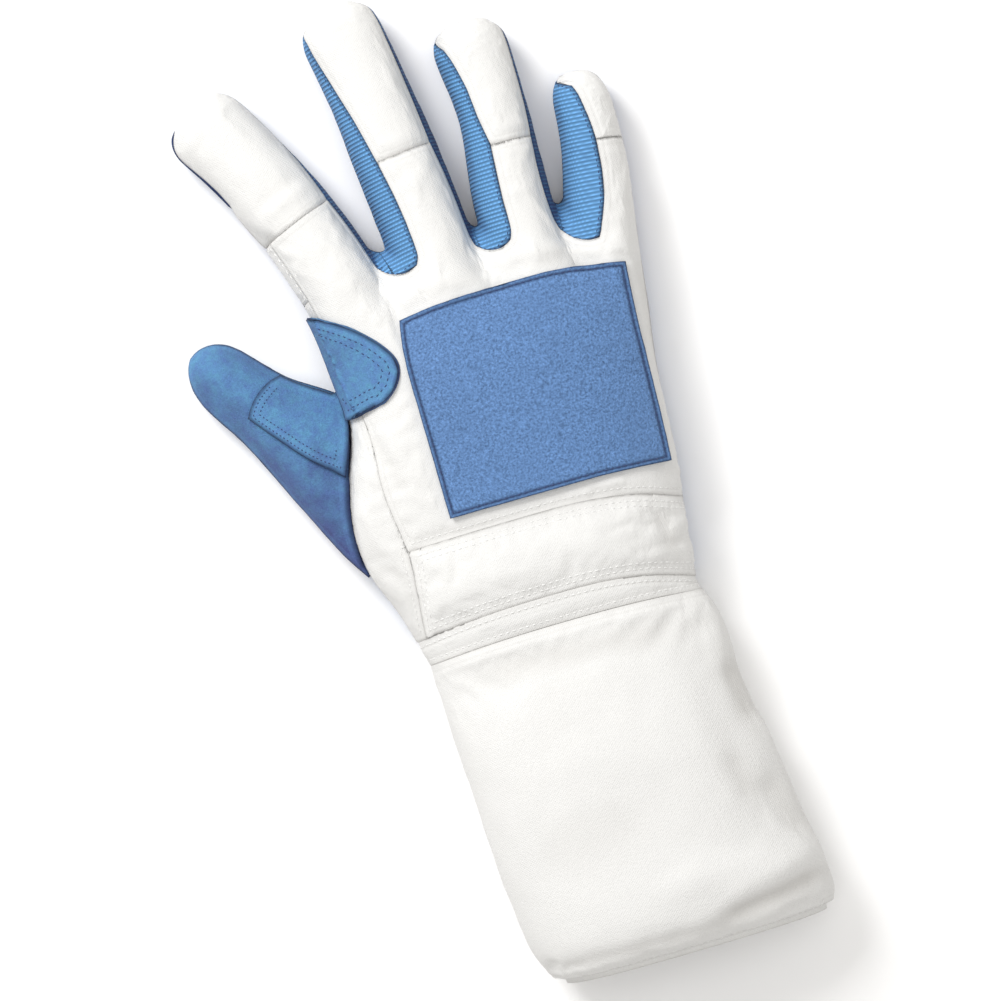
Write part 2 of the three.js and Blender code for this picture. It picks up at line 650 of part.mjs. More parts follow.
// The palm: four finger fronts joined behind the webs, flat on the table, down to the cuff seam.
function palmPanel() {
  const panel = new Panel(0, suedeWall);
  const across = [-2, -1.5, -1, 1, 1.5, 2];
  const front = [];
  const frontAcross = [];
  const starts = {};
  const startAt = (finger, a) => lerp(finger.webLeft, finger.webRight, (a + 2) / 4);
  fingerOrder.forEach((name, k) => {
    const finger = fingers[name];
    starts[name] = front.length;
    for (const a of across) front.push((depth) => fingerFront(finger, startAt(finger, a), a, depth));
    if (k === fingerOrder.length - 1) return;
    const next = fingers[fingerOrder[k + 1]];
    for (let j = 1; j < webColumns; j += 1) {
      front.push((depth) => webPoint(
        fingerFront(finger, finger.webRight, 2, depth),
        fingerFront(next, next.webLeft, -2, depth),
        j / webColumns, 1, depth,
      ));
    }
  });
  const last = front.length - 1;
  const outer = front.map((at) => at(0));
  outer.forEach((point, j) => {
    const section = bodySection(point.y);
    const half = point.x < 0 ? section.left : section.right;
    const edge = (Math.abs(point.x) - half + palmEdgeRadius) / palmEdgeRadius;
    const curl = 1 + radToDeg(Math.asin(clamp(edge, 0, 1))) / 90;
    frontAcross.push(edge > 0 ? Math.sign(point.x) * curl : point.x / (half - palmEdgeRadius));
  });
  frontAcross[0] = -2;
  frontAcross[last] = 2;
  const edgeColumns = 2;
  const rearAcross = (j) => {
    if (j < edgeColumns) return -2 + j / edgeColumns;
    if (j > last - edgeColumns) return 2 - (last - j) / edgeColumns;
    return lerp(-1, 1, (j - edgeColumns) / (last - 2 * edgeColumns));
  };
  const rows = 13;
  const rearEnds = [-90, 90].map((turn) => seamLine(bandBottom, bandBottomCurve, turn) + seamGap / 2);
  const hand = panel.grid(rows, last, (i, j, depth) => {
    const start = outer[j].y;
    const rear = lerp(...rearEnds, clamp((rearAcross(j) + 1) / 2, 0, 1));
    const y = lerp(start, rear, i / rows);
    const place = lerp(frontAcross[j], rearAcross(j), smoothstep(i / rows, 0, 0.4));
    const offset = front[j](depth).sub(palmSkin(start, frontAcross[j], depth));
    const kept = 1 - smoothstep(start - y, 0, knuckleFade);
    return palmSkin(y, place, depth).addScaledVector(offset, kept);
  });
  panel.cover(hand);
  for (const name of fingerOrder) {
    const finger = fingers[name];
    const rowsAlong = across.map((a) => fingerRows(finger, startAt(finger, a)).slice(1, -1));
    const root = hand[0].slice(starts[name], starts[name] + across.length);
    const rest = panel.grid(rowsAlong[0].length - 1, across.length - 1, (i, j, depth) => (
      fingerFront(finger, rowsAlong[j][i], across[j], depth)
    ));
    const tip = panel.point((depth) => fingerFront(finger, finger.length, 2, depth));
    panel.cover([Array(across.length).fill(tip), ...rest.reverse(), root]);
  }
  return piece('palm_panel', panel, suedeBlue);
}

// The narrow white strip down the outer side of the index finger.
function indexSideStrip() {
  const finger = fingers.index;
  const panel = new Panel(0, backWall);
  const columns = 2;
  const places = fingerRows(finger).slice(0, crossSeamRow + 1);
  places[crossSeamRow] -= seamGap / 2;
  const gapTurn = radToDeg(seamGap / finger.half);
  panel.cover(panel.grid(crossSeamRow, columns, (i, j, depth) => {
    const edge = whiteEdge(finger, places[i], -1) - gapTurn;
    return fingerSkin(finger, places[i], lerp(-90, edge, j / columns), depth);
  }));
  return piece('index_side_strip', panel, white);
}

// The white side panel between the back and the thumb, from the index finger to the cuff seam.
function thumbSidePanel() {
  const finger = fingers.index;
  const panel = new Panel(0, backWall);
  const columns = 3;
  const fingerGap = radToDeg(seamGap / finger.half);
  const handGap = radToDeg(seamGap / (palmWidth / 2)) * 2;
  const front = Array.from({ length: columns + 1 }, (_, j) => (depth) => {
    const edge = whiteEdge(finger, 0, -1) - fingerGap;
    const point = fingerSkin(finger, 0, lerp(-90, edge, j / columns), depth);
    point.y -= seamGap;
    return point;
  });
  const rows = handRows + bandRows;
  const turnOf = (i, j) => lerp(-90, seamTurn(seamPlace(i)) - handGap, j / columns);
  const placeOf = (i, j, start) => {
    if (i === 0) return start;
    if (i < rows) return seamPlace(i);
    return seamLine(bandBottom, bandBottomCurve, turnOf(i, j)) + seamGap / 2;
  };
  panel.cover(handGrid(panel, rows, front, placeOf, turnOf));
  return piece('thumb_side_panel', panel, white);
}

// The padded band across the back of the wrist.
function wristBand() {
  const panel = new Panel(0, bandWall);
  const columns = 20;
  panel.cover(panel.grid(bandRows, columns, (i, j, depth) => {
    const turnOf = (row) => lerp(seamTurn(seamPlace(row)), 90, j / columns);
    const top = seamLine(bandTop, bandTopCurve, turnOf(handRows)) - seamGap / 2;
    const bottom = seamLine(bandBottom, bandBottomCurve, turnOf(handRows + bandRows)) + seamGap / 2;
    return backSkin(lerp(top, bottom, i / bandRows), turnOf(handRows + i), depth);
  }));
  return piece('wrist_band', panel, white);
}

// A closed ring round the hand or cuff: over the back and under the palm side, at places along Y
// that may differ with the turn.
function ring(panel, rows, yAt) {
  const backColumns = 24;
  const under = [1.5, 1, -1, -1.5];
  return panel.grid(rows, backColumns + under.length, (i, j, depth) => {
    if (j <= backColumns) {
      const turn = lerp(-90, 90, j / backColumns);
      const point = backSkin(yAt(i, turn), turn, depth);
      point.z -= seamGap / 2 * Math.sin(degToRad(turn)) ** 2;
      return point;
    }
    const place = under[j - backColumns - 1];
    return palmSkin(yAt(i, Math.sign(place) * 90), place, depth);
  });
}

// The stitched binding that joins the hand to the cuff: a top half and the underside in one ring.
function wristBinding() {
  const panel = new Panel(0, bindingWall);
  const rows = 2;
  const grid = ring(panel, rows, (i, turn) => {
    const front = seamLine(bandBottom, bandBottomCurve, turn) - seamGap / 2;
    const rear = seamLine(handLength, cuffSeamCurve, turn) + seamGap / 2;
    return lerp(front, rear, i / rows);
  });
  panel.cover(grid, true);
  return piece('wrist_binding', panel, white);
}

const cuffPlaces = cuffSections.map((row) => row.along);

// A place along Y at a share of the way from the cuff seam to the mouth.
function cuffPlace(share, turn) {
  const front = seamLine(handLength, cuffSeamCurve, turn) - seamGap / 2;
  return lerp(front, cuffSeamY - cuffLength, share);
}

// The gauntlet: a padded tube from the cuff seam to the mouth.
function cuff() {
  const panel = new Panel(0, cuffWall);
  const grid = ring(panel, cuffPlaces.length - 1, (i, turn) => cuffPlace(cuffPlaces[i], turn));
  panel.cover(grid, true);
  return piece('cuff', panel, white);
}

// The hem tape inside the cuff's mouth, which shows as a thin edge beyond the padding.
function cuffHem() {
  const gap = cuffWall + seamGap;
  const panel = new Panel(gap, gap + hemWall);
  const places = [...cuffPlaces.slice(-2), 1 + hemShow / cuffLength];
  const grid = ring(panel, places.length - 1, (i, turn) => cuffPlace(places[i], turn));
  panel.cover(grid, true);
  return piece('cuff_hem', panel, white);
}

// A point at a height over the panels below it, on the line through the skin's own point.
function laidOn(panels, y, turn, height) {
  const above = backSkin(y, turn, -12);
  const below = backSkin(y, turn, 10);
  const direction = below.clone().sub(above).normalize();
  const ray = new THREE.Raycaster(above, direction, 0, above.distanceTo(below));
  const [hit] = ray.intersectObjects(panels);
  const skin = hit ? hit.point : backSkin(y, turn, 0);
  return skin.clone().addScaledVector(direction, -height);
}

// The felt patch sewn on the back of the hand, with a bowed front edge.
function backPatch(panels) {
  const panel = new Panel(-patchGap - feltWall, -patchGap);
  const rows = 10;
  const columns = 12;
  panel.cover(panel.grid(rows, columns, (i, j, depth) => {
    const width = patchWidth - patchTaper * i / rows;
    const turnOf = (x, section) => turnAt(x / (x < 0 ? section.left : section.right), handSquareness);
    const middle = bodySection(lerp(patchFront, patchRear, i / rows));
    const turns = [patchLeft, patchLeft + width].map((x) => turnOf(x, middle));
    const turn = lerp(...turns, j / columns);
    const side = lerp(-1, 1, j / columns);
    const front = patchFront + patchBow * (1 - side * side) - patchBow * (side + 1) / 4;
    const rear = patchRear - patchBow * Math.max(0, side) / 2;
    return laidOn(panels, lerp(front, rear, i / rows), turn, -depth);
  }));
  return piece('back_patch', panel, feltBlue);
}

// The crotch patch's outline, from its front end to its rear end. `along` is a share of its
// height, and `reach` is how far it comes in over the hand as a share of crotchPatchReach.
const crotchPatchOutline = [
  { along: 0, reach: 0.07 },
  { along: 0.03, reach: 0.2 },
  { along: 0.1, reach: 0.38 },
  { along: 0.18, reach: 0.56 },
  { along: 0.29, reach: 0.73 },
  { along: 0.42, reach: 0.89 },
  { along: 0.56, reach: 1.02 },
  { along: 0.7, reach: 1.03 },
  { along: 0.86, reach: 0.84 },
  { along: 0.95, reach: 0.6 },
  { along: 1, reach: 0.14 },
];

// The rounded suede patch over the crotch between thumb and index finger. Its front edge slopes
// back from the crotch, and its rear edge runs nearly square to it.
function crotchPatch(panels) {
  const panel = new Panel(-crotchPatchGap - suedeWall, -crotchPatchGap);
  const columns = 8;
  panel.cover(panel.grid(crotchPatchOutline.length - 1, columns, (i, j, depth) => {
    const { along, reach } = crotchPatchOutline[i];
    const y = crotchPatchFront - along * crotchPatchHeight;
    const section = bodySection(y);
    const edge = turnAt(-(section.left - reach * crotchPatchReach) / section.left, handSquareness);
    return laidOn(panels, y, lerp(-86, edge, j / columns), -depth);
  }));
  return piece('crotch_patch', panel, suedeBlue);
}

const thumbRoot = new THREE.Vector2(
  -(bodySection(thumbCrotchY).left + bodySection(thumbHeelY).left) / 2,
  (thumbCrotchY + thumbHeelY) / 2,
);

// A point of one face of the thumb. `row` runs from the hand's opening to the tip, and `share`
// from the upper edge, towards the index finger, to the lower edge.
function thumbPoint(row, share, depth, rise) {
  const heading = degToRad(thumbHeading);
  const ahead = new THREE.Vector2(-Math.sin(heading), Math.cos(heading));
  const aside = new THREE.Vector2(Math.cos(heading), Math.sin(heading));
  const shrink = 1 - depth / thumbHalf;
  const edge = (at, off) => thumbRoot.clone()
    .addScaledVector(ahead, lookUp(thumbSections, 'row', at, row) * thumbLength
      - depth * smoothstep(row, 0.5, 1))
    .addScaledVector(aside, lookUp(thumbSections, 'row', off, row) * thumbHalf * shrink);
  const place = edge('upperAt', 'upper').lerp(edge('lowerAt', 'lower'), share);
  const y = lerp(thumbCrotchY, thumbHeelY, share);
  const opening = new THREE.Vector2(-bodySection(y).left - 2.3 * seamGap, y);
  const chord = new THREE.Vector2(-bodySection(thumbCrotchY).left, thumbCrotchY)
    .lerp(new THREE.Vector2(-bodySection(thumbHeelY).left, thumbHeelY), share);
  place.addScaledVector(opening.sub(chord), (1 - row) ** 2);
  return new THREE.Vector3(place.x, place.y, rise);
}

// The levels of the thumb's edge seam and crown along its length.
function thumbHeights(row) {
  return {
    level: lerp(sideLevel, thumbLevel, smoothstep(row, 0, 0.4)),
    crown: lookUp(thumbSections, 'row', 'crown', row) * thumbThickness,
  };
}

// How much of its height the thumb still has at a row when it starts to round off at `from`.
function thumbTaper(row, from) {
  return Math.sqrt(1 - clamp((row - from) / (1 - from), 0, 1) ** 2);
}

function thumbTop(row, share, depth) {
  const { level, crown } = thumbHeights(row);
  const base = level + seamGap / 2;
  const crownHere = lerp(sideLevel + thumbBaseRise, crown, smoothstep(row, 0, 0.25));
  const taper = thumbTaper(row, 0.9);
  const rise = Math.max(0, crownHere - base) * (1 - depth * taper / (crownHere - base + 1e-6));
  return thumbPoint(row, share, depth, base + Math.max(0, rise) * thumbArch(share) * taper);
}

function thumbUnder(row, share, depth) {
  const { level } = thumbHeights(row);
  const base = level - seamGap / 2;
  const taper = thumbTaper(row, 0.82);
  return thumbPoint(row, share, depth, base - (base - depth) * undersideArch(thumbArch(share)) * taper);
}

const thumbRows = [0, 0.1, 0.2, 0.32, 0.44, 0.56, 0.68, 0.78, 0.86, 0.92, 0.965];
const thumbColumns = 12;

// One suede half of the thumb, closed at the tip.
function thumbShell(name, skin) {
  const panel = new Panel(0, suedeWall);
  const grid = panel.grid(thumbRows.length - 1, thumbColumns, (i, j, depth) => (
    skin(thumbRows[i], (1 - Math.cos(Math.PI * j / thumbColumns)) / 2, depth)
  ));
  const tip = panel.point((depth) => skin(1, 0.5, depth));
  grid.push(Array(thumbColumns + 1).fill(tip));
  panel.cover(grid);
  return piece(name, panel, suedeBlue);
}

// Where the lower edge of the thumb's second layer runs: `row` is a share of the way along the
// thumb and `share` a share of the way across it.
const reinforcementEdge = [
  { row: 0, share: 0.47 },
  { row: 0.11, share: 0.47 },
  { row: 0.245, share: 0.51 },
  { row: 0.47, share: 0.58 },
  { row: 0.6, share: 0.65 },
  { row: 0.66, share: 0.68 },
];

// The second layer of suede over the upper half of the thumb, from the opening to an arched end.
function thumbReinforcement() {
  const panel = new Panel(-seamGap - suedeWall, -seamGap);
  const rows = 7;
  const columns = 5;
  panel.cover(panel.grid(rows, columns, (i, j, depth) => {
    const end = 0.5 + 0.155 * Math.sin(degToRad(90 * (j / columns) ** 0.7));
    const row = lerp(0.02, end, i / rows);
    const edge = lookUp(reinforcementEdge, 'row', 'share', row);
    return thumbTop(row, lerp(0.05, edge, j / columns), depth);
  }));
  return piece('thumb_reinforcement', panel, suedeBlue);
}

const handPanels = [backPanel(), indexSideStrip(), thumbSidePanel()];

const glove = new THREE.Group();
glove.name = 'fencing_glove';
glove.add(
  ...handPanels,
  ...fingerOrder.map(tipPanel),
  gusset('index', 'middle'),
  gusset('middle', 'ring'),
  gusset('ring', 'little'),
  palmPanel(),
  thumbShell('thumb_back', thumbTop),
  thumbShell('thumb_front', thumbUnder),
  thumbReinforcement(),
  crotchPatch(handPanels),
  backPatch(handPanels),
  wristBand(),
  wristBinding(),
  cuff(),
  cuffHem(),
);

export default glove;
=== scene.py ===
"""Looks for the fencing glove: padded white cloth, blue suede, ribbed mesh and felt with their stitching.

Each visible piece grows from the solid of the same name. The solid's mesh is merged, subdivided,
swollen as cloth where it is padded, folded and puckered, and gets its material. The stitches run
along lines at a set distance from each piece's seams.
"""

import math

import bmesh
import bpy
import numpy as np
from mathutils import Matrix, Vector, noise
from mathutils.bvhtree import BVHTree
from mathutils.kdtree import KDTree


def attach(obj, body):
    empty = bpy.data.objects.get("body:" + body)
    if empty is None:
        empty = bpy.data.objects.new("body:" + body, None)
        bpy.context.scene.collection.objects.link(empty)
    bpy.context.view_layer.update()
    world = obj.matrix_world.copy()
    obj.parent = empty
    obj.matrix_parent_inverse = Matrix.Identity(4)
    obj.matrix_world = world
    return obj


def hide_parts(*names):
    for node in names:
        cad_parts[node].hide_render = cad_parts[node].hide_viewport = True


bl_info = {
    "name": "Fencing Glove",
    "version": (1, 0, 0),
    "blender": (4, 5, 0),
    "location": "View3D > Sidebar > Glove",
    "description": "Dresses a fencing glove in padded cloth, suede, mesh, felt and stitches",
    "category": "Object",
}

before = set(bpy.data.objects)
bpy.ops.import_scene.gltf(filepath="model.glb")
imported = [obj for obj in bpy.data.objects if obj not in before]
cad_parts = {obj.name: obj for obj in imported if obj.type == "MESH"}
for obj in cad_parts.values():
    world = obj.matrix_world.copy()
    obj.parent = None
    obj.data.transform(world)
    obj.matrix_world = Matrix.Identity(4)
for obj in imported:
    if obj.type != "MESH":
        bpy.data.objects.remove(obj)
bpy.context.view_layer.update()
MM = 0.001

# The raised and sunken folds of the white cloth; the sunken ones also get painted shade. start and end
# are millimetres across and along the glove, width is how far to either side the fold reaches, and height
# is above the cloth.
FOLDS = [
    {"start": (-36, -85), "end": (34, -88), "width": 6, "height": -1.0},
    {"start": (-44, -79.5), "end": (36, -81), "width": 3, "height": 0.35},
    {"start": (-30, -100), "end": (20, -96), "width": 9, "height": 0.6},
    {"start": (47, -102), "end": (50, -126), "width": 5, "height": -1.5},
    {"start": (39, -100), "end": (42, -126), "width": 5, "height": 0.5},
    {"start": (54, -112), "end": (56, -136), "width": 4, "height": 0.4},
    {"start": (39, -132), "end": (42, -150), "width": 4, "height": -0.8},
    {"start": (48, -142), "end": (56, -166), "width": 4.5, "height": -0.9},
    {"start": (4, -168), "end": (56, -172), "width": 6, "height": 1.0},
    {"start": (20, -184.5), "end": (60, -179), "width": 3.2, "height": -1.9},
    {"start": (24, -177), "end": (58, -171), "width": 3, "height": 0.5},
    {"start": (-34, -185), "end": (24, -186), "width": 2.4, "height": -0.6},
    {"start": (-20, -120), "end": (14, -126), "width": 9, "height": 0.45},
    {"start": (-34, -150), "end": (6, -142), "width": 10, "height": -0.45},
    {"start": (18, 45), "end": (43, 41), "width": 2.8, "height": 0.9},
    {"start": (0, 44), "end": (38, 38.5), "width": 2, "height": -0.5},
    {"start": (46, 40), "end": (56, 34), "width": 3.4, "height": 0.7},
    {"start": (-30, 43), "end": (6, 44), "width": 4, "height": 0.4},
    {"start": (-60, 80), "end": (-43, 87), "width": 1.5, "height": 0.55},
    {"start": (-62, 84), "end": (-45, 91), "width": 1.8, "height": -0.4},
    {"start": (-61, 71), "end": (-44, 78), "width": 2.4, "height": 0.5},
    {"start": (-19, 92), "end": (-3, 92.5), "width": 1.8, "height": 0.35},
    {"start": (-18, 85), "end": (-4, 85.5), "width": 2, "height": 0.35},
    {"start": (24, 87), "end": (33, 86.5), "width": 1.6, "height": 0.35},
    {"start": (23, 79), "end": (33, 78), "width": 1.8, "height": 0.3},
    {"start": (55, 36), "end": (55, -14), "width": 3.6, "height": -0.7},
    {"start": (-46, -37), "end": (36, -42), "width": 3.2, "height": -0.7},
    {"start": (-44, -31), "end": (34, -37), "width": 3, "height": 0.3},
    {"start": (-50, -8), "end": (-42, -32), "width": 3.4, "height": 0.5},
    {"start": (-46, 2), "end": (-40, -22), "width": 2.4, "height": -0.5},
    {"start": (-52, -40), "end": (-46, -62), "width": 2.2, "height": -0.4},
    {"start": (-56, -20), "end": (-50, -44), "width": 2.6, "height": 0.5},
    {"start": (33, -50), "end": (45, -47), "width": 0.9, "height": 0.2},
    {"start": (30, -54), "end": (45, -51.5), "width": 0.9, "height": -0.2},
    {"start": (29, -57), "end": (45, -55.5), "width": 1.0, "height": 0.22},
    {"start": (27, -60.5), "end": (45, -60), "width": 1.1, "height": -0.22},
    {"start": (28, -63), "end": (45, -63.5), "width": 1.0, "height": 0.2},
    {"start": (30, -66), "end": (44, -67.5), "width": 1.0, "height": -0.18},
    {"start": (38, -49), "end": (40, -66), "width": 2.6, "height": -0.7},
]

# The fingers' centrelines, for the ribs of the mesh: the root in millimetres, and the way the
# finger points in degrees to the left of the glove's length
FINGER_LINES = [
    {"root": (-42.2, 53), "heading": 25.4},
    {"root": (-9.5, 54.3), "heading": 7},
    {"root": (20.6, 53.5), "heading": -1},
    {"root": (47.1, 46), "heading": -5.7},
]

# The seam along the index finger's outer side, where the palm's edge shows past the padding,
# in millimetres across and along the glove
INDEX_EDGE = ((-83.1, 115.7), (-71.5, 88.5))
INDEX_END = ((-69.5, 83), (-61.8, 71.5))

# Where the padding of the index finger stops above the palm's edge and is drawn down to it, in
# millimetres: the place along the glove, the height of the padding's edge, and how far it drops
INDEX_RIM = [
    {"along": 71.0, "edge": 20.3, "drop": 11.0},
    {"along": 76.5, "edge": 16.5, "drop": 7.2},
    {"along": 82.0, "edge": 12.2, "drop": 2.9},
    {"along": 94.0, "edge": 9.3, "drop": 0.0},
]
# How high above its edge the padding is drawn down, how far it leans out for each millimetre
# that it drops, and how far across the glove that reaches
INDEX_RIM_REACH = 7.0
INDEX_RIM_LEAN = -0.16
INDEX_RIM_SIDE = -53.8

# Where the thumb's suede meets the white panel beside it, in millimetres across and along
THUMB_OPENING = ((-53.5, 8), (-56.8, -9.5))

# A point on the thumb reinforcement's upper edge, in millimetres, and the way out across that
# edge. The stitch rows stay this far inside it, and on the thumb's side of a place across.
REINFORCEMENT_EDGE = Vector((-70.5, 28.9))
REINFORCEMENT_OUT = Vector((0.522, 0.852))
REINFORCEMENT_INSIDE = 4.2
REINFORCEMENT_END = -58.5

# The side that the painted light comes from, as a direction: the blue pieces are coloured lighter where
# they face it and darker where they turn from it, as painted light and shade
PAINTED_LIGHT_SIDE = (-0.38, 0.6, 0.7)

# A point of a piece whose outer share is above this lies on its outer side
OUTSIDE = 0.99

# Edges of a solid that turn by more than this, in degrees, stay crisp when it is subdivided
SHARP_EDGE = 48

# In metres, how far a patch sinks into the padding that carries it, the least room that it then
# keeps, the least room below the felt, and how much more room a patch's outer side keeps
PATCH_SINK = 0.00045
PATCH_CLEAR = 0.0001
FELT_CLEAR = 0.0003
PATCH_RISE = 0.0008

# The felt's curve is worked out with this length, half of its width in metres, as the unit
FELT_SPAN = 0.04

# The felt's stitched groove: its distance from the edge, its half width and its depth, in metres
FELT_ROW = 0.0014
FELT_ROW_WIDTH = 0.0008
FELT_ROW_DEPTH = 0.0004

# The stitch rows' distances from the seam, in metres, and the fewest points that make a row
STRIP_ROW = 0.0013
GUSSET_ROW = 0.0012
REINFORCEMENT_ROWS = (0.0018, 0.0038)
CROTCH_ROWS = (0.0033, 0.0058)
BAND_ROWS = (0.0021, 0.0040)
BINDING_ROW = 0.0018
HEM_ROW = 0.0013
SHORTEST_ROW = 5

# The white thread's colour
WHITE_THREAD = (0.82, 0.82, 0.81)

# The camera: its place in metres, its sensor in millimetres, the width that it frames at a
# distance of CAMERA_REACH, and how far it is turned, in degrees
CAMERA_PLACE = (-0.01076, -0.03173, 1.618)
CAMERA_SENSOR = 36
CAMERA_REACH = 1.6
CAMERA_WIDTH = 0.33367
CAMERA_TURN = -16

# The area lights: place and size in metres, and power in watts. They aim at the glove's middle.
LIGHTS = [
    {"name": "key", "place": (-0.6, 1.0, 1.04), "size": 0.6, "power": 17.5},
    {"name": "overhead", "place": (0.15, -0.1, 1.9), "size": 1.6, "power": 13.6},
]
LIGHT_AIM = (0, -0.03, 0.02)

WHITE_PADDED = ("back_panel", "thumb_side_panel", "index_side_strip")
TIPS = ("index_tip_panel", "middle_tip_panel", "ring_tip_panel", "little_tip_panel")
GUSSETS = ("index_middle_gusset", "middle_ring_gusset", "ring_little_gusset")


class GloveSizes(bpy.types.PropertyGroup):
    """Sizes of the glove's padding, seams and stitches"""

    stitch_length: bpy.props.FloatProperty(
        name="Stitch Length", description="Length of one stitch", default=0.0016, unit="LENGTH"
    )
    stitch_pitch: bpy.props.FloatProperty(
        name="Stitch Pitch",
        description="Distance from one stitch to the next",
        default=0.0023,
        unit="LENGTH",
    )
    thread_radius: bpy.props.FloatProperty(
        name="Thread Radius", description="Half the thread's thickness", default=0.0002, unit="LENGTH"
    )
    seam_inset: bpy.props.FloatProperty(
        name="Seam Inset",
        description="How far a stitch row lies from the seam",
        default=0.0021,
        unit="LENGTH",
    )
    puff: bpy.props.FloatProperty(
        name="Puff", description="How far the padding swells between seams", default=0.0009, unit="LENGTH"
    )
    pucker: bpy.props.FloatProperty(
        name="Pucker", description="Height of the puckers along a seam", default=0.00022, unit="LENGTH"
    )
    rib_pitch: bpy.props.FloatProperty(
        name="Rib Pitch",
        description="Distance between the ribs of the mesh",
        default=0.00135,
        unit="LENGTH",
    )


class GloveColours(bpy.types.PropertyGroup):
    """Colours of the glove's cloth, suede, mesh, felt and thread"""

    cloth: bpy.props.FloatVectorProperty(
        name="Cloth", description="White padded cloth", subtype="COLOR", default=(0.765, 0.763, 0.752)
    )
    # Painted shade on the white cloth: the colour it turns to along its seams, in its stitched rows and
    # in its sunken folds
    cloth_shade: bpy.props.FloatVectorProperty(
        name="Cloth Shade",
        description="White cloth in its seams",
        subtype="COLOR",
        default=(0.42, 0.4, 0.37),
    )
    suede: bpy.props.FloatVectorProperty(
        name="Suede", description="Blue suede", subtype="COLOR", default=(0.096, 0.222, 0.415)
    )
    # Painted shade: the suede's colour on its sides turned from the light and towards the thumb's base
    suede_shadow: bpy.props.FloatVectorProperty(
        name="Suede Shadow",
        description="Suede in painted shade",
        subtype="COLOR",
        default=(0.052, 0.06, 0.185),
    )
    # Near-black blue along the seams: partly the cloth pulled in and the dark thread, partly painted
    # shade in the seam
    seam: bpy.props.FloatVectorProperty(
        name="Seam",
        description="Blue cloth where it is pulled into a seam",
        subtype="COLOR",
        default=(0.012, 0.02, 0.055),
    )
    mesh: bpy.props.FloatVectorProperty(
        name="Mesh", description="Blue ribbed mesh", subtype="COLOR", default=(0.135, 0.34, 0.64)
    )
    mesh_shadow: bpy.props.FloatVectorProperty(
        name="Mesh Shadow",
        description="Mesh turned away or pulled in",
        subtype="COLOR",
        default=(0.03, 0.04, 0.13),
    )
    felt: bpy.props.FloatVectorProperty(
        name="Felt", description="Blue felt", subtype="COLOR", default=(0.118, 0.228, 0.455)
    )
    thread: bpy.props.FloatVectorProperty(
        name="Dark Thread", description="Navy thread", subtype="COLOR", default=(0.035, 0.06, 0.16)
    )


def sizes():
    return bpy.context.scene.glove_sizes


def colours():
    return bpy.context.scene.glove_colours


def rgba(colour):
    return (colour[0], colour[1], colour[2], 1.0)


def toned(colour, share):
    """A colour made darker or lighter by a share of itself."""
    return rgba([min(1, c * share) for c in colour])


# Shader groups

def new_group(name, inputs, outputs):
    """A shader node group with float or colour sockets, and its input and output nodes."""
    group = bpy.data.node_groups.new(name, "ShaderNodeTree")
    for label, kind, default in inputs:
        socket = group.interface.new_socket(name=label, in_out="INPUT", socket_type=kind)
        if default is not None:
            socket.default_value = default
    for label, kind in outputs:
        group.interface.new_socket(name=label, in_out="OUTPUT", socket_type=kind)
    return group, group.nodes.new("NodeGroupInput"), group.nodes.new("NodeGroupOutput")


def math_node(tree, operation, *values):
    node = tree.nodes.new("ShaderNodeMath")
    node.operation = operation
    for k, value in enumerate(values):
        if isinstance(value, (int, float)):
            node.inputs[k].default_value = value
        else:
            tree.links.new(value, node.inputs[k])
    return node.outputs[0]


def part_of(tree, value, share):
    """A mask at a share of its strength."""
    return math_node(tree, "MULTIPLY", value, share)


def attribute_node(tree, name):
    """The value that the piece's mesh carries under a name."""
    node = tree.nodes.new("ShaderNodeAttribute")
    node.attribute_name = name
    return node.outputs["Fac"]


def noise_node(tree, vector, scale, detail=2.0, roughness=0.5):
    node = tree.nodes.new("ShaderNodeTexNoise")
    node.inputs["Scale"].default_value = scale
    node.inputs["Detail"].default_value = detail
    node.inputs["Roughness"].default_value = roughness
    tree.links.new(vector, node.inputs["Vector"])
    return node.outputs["Fac"]


def ramp_node(tree, value, low, high):
    node = tree.nodes.new("ShaderNodeMapRange")
    node.inputs["From Min"].default_value = low
    node.inputs["From Max"].default_value = high
    tree.links.new(value, node.inputs["Value"])
    return node.outputs["Result"]


def mix_colour(tree, factor, first, second):
    node = tree.nodes.new("ShaderNodeMix")
    node.data_type = "RGBA"
    if isinstance(factor, float):
        node.inputs[0].default_value = factor
    else:
        tree.links.new(factor, node.inputs[0])
    for socket, colour in ((node.inputs[6], first), (node.inputs[7], second)):
        if isinstance(colour, (tuple, list)):
            socket.default_value = colour
        else:
            tree.links.new(colour, socket)
    return node.outputs[2]


def weave_group():
    """Crossing threads: a height for bumps from the place on the cloth."""
    group, start, end = new_group(
        "Woven Threads",
        [("Vector", "NodeSocketVector", None), ("Threads per Metre", "NodeSocketFloat", 1500.0)],
        [("Height", "NodeSocketFloat")],
    )
    split = group.nodes.new("ShaderNodeSeparateXYZ")
    group.links.new(start.outputs["Vector"], split.inputs[0])
    turns = math_node(group, "MULTIPLY", start.outputs["Threads per Metre"], math.tau)
    across = math_node(group, "SINE", math_node(group, "MULTIPLY", split.outputs[0], turns))
    lengthwise = math_node(group, "SINE", math_node(group, "MULTIPLY", split.outputs[1], turns))
    down = math_node(group, "SINE", math_node(group, "MULTIPLY", split.outputs[2], turns))
    product = math_node(group, "MULTIPLY", across, lengthwise)
    height = math_node(group, "ADD", product, math_node(group, "MULTIPLY", down, 0.35))
    group.links.new(height, end.inputs["Height"])
    return group


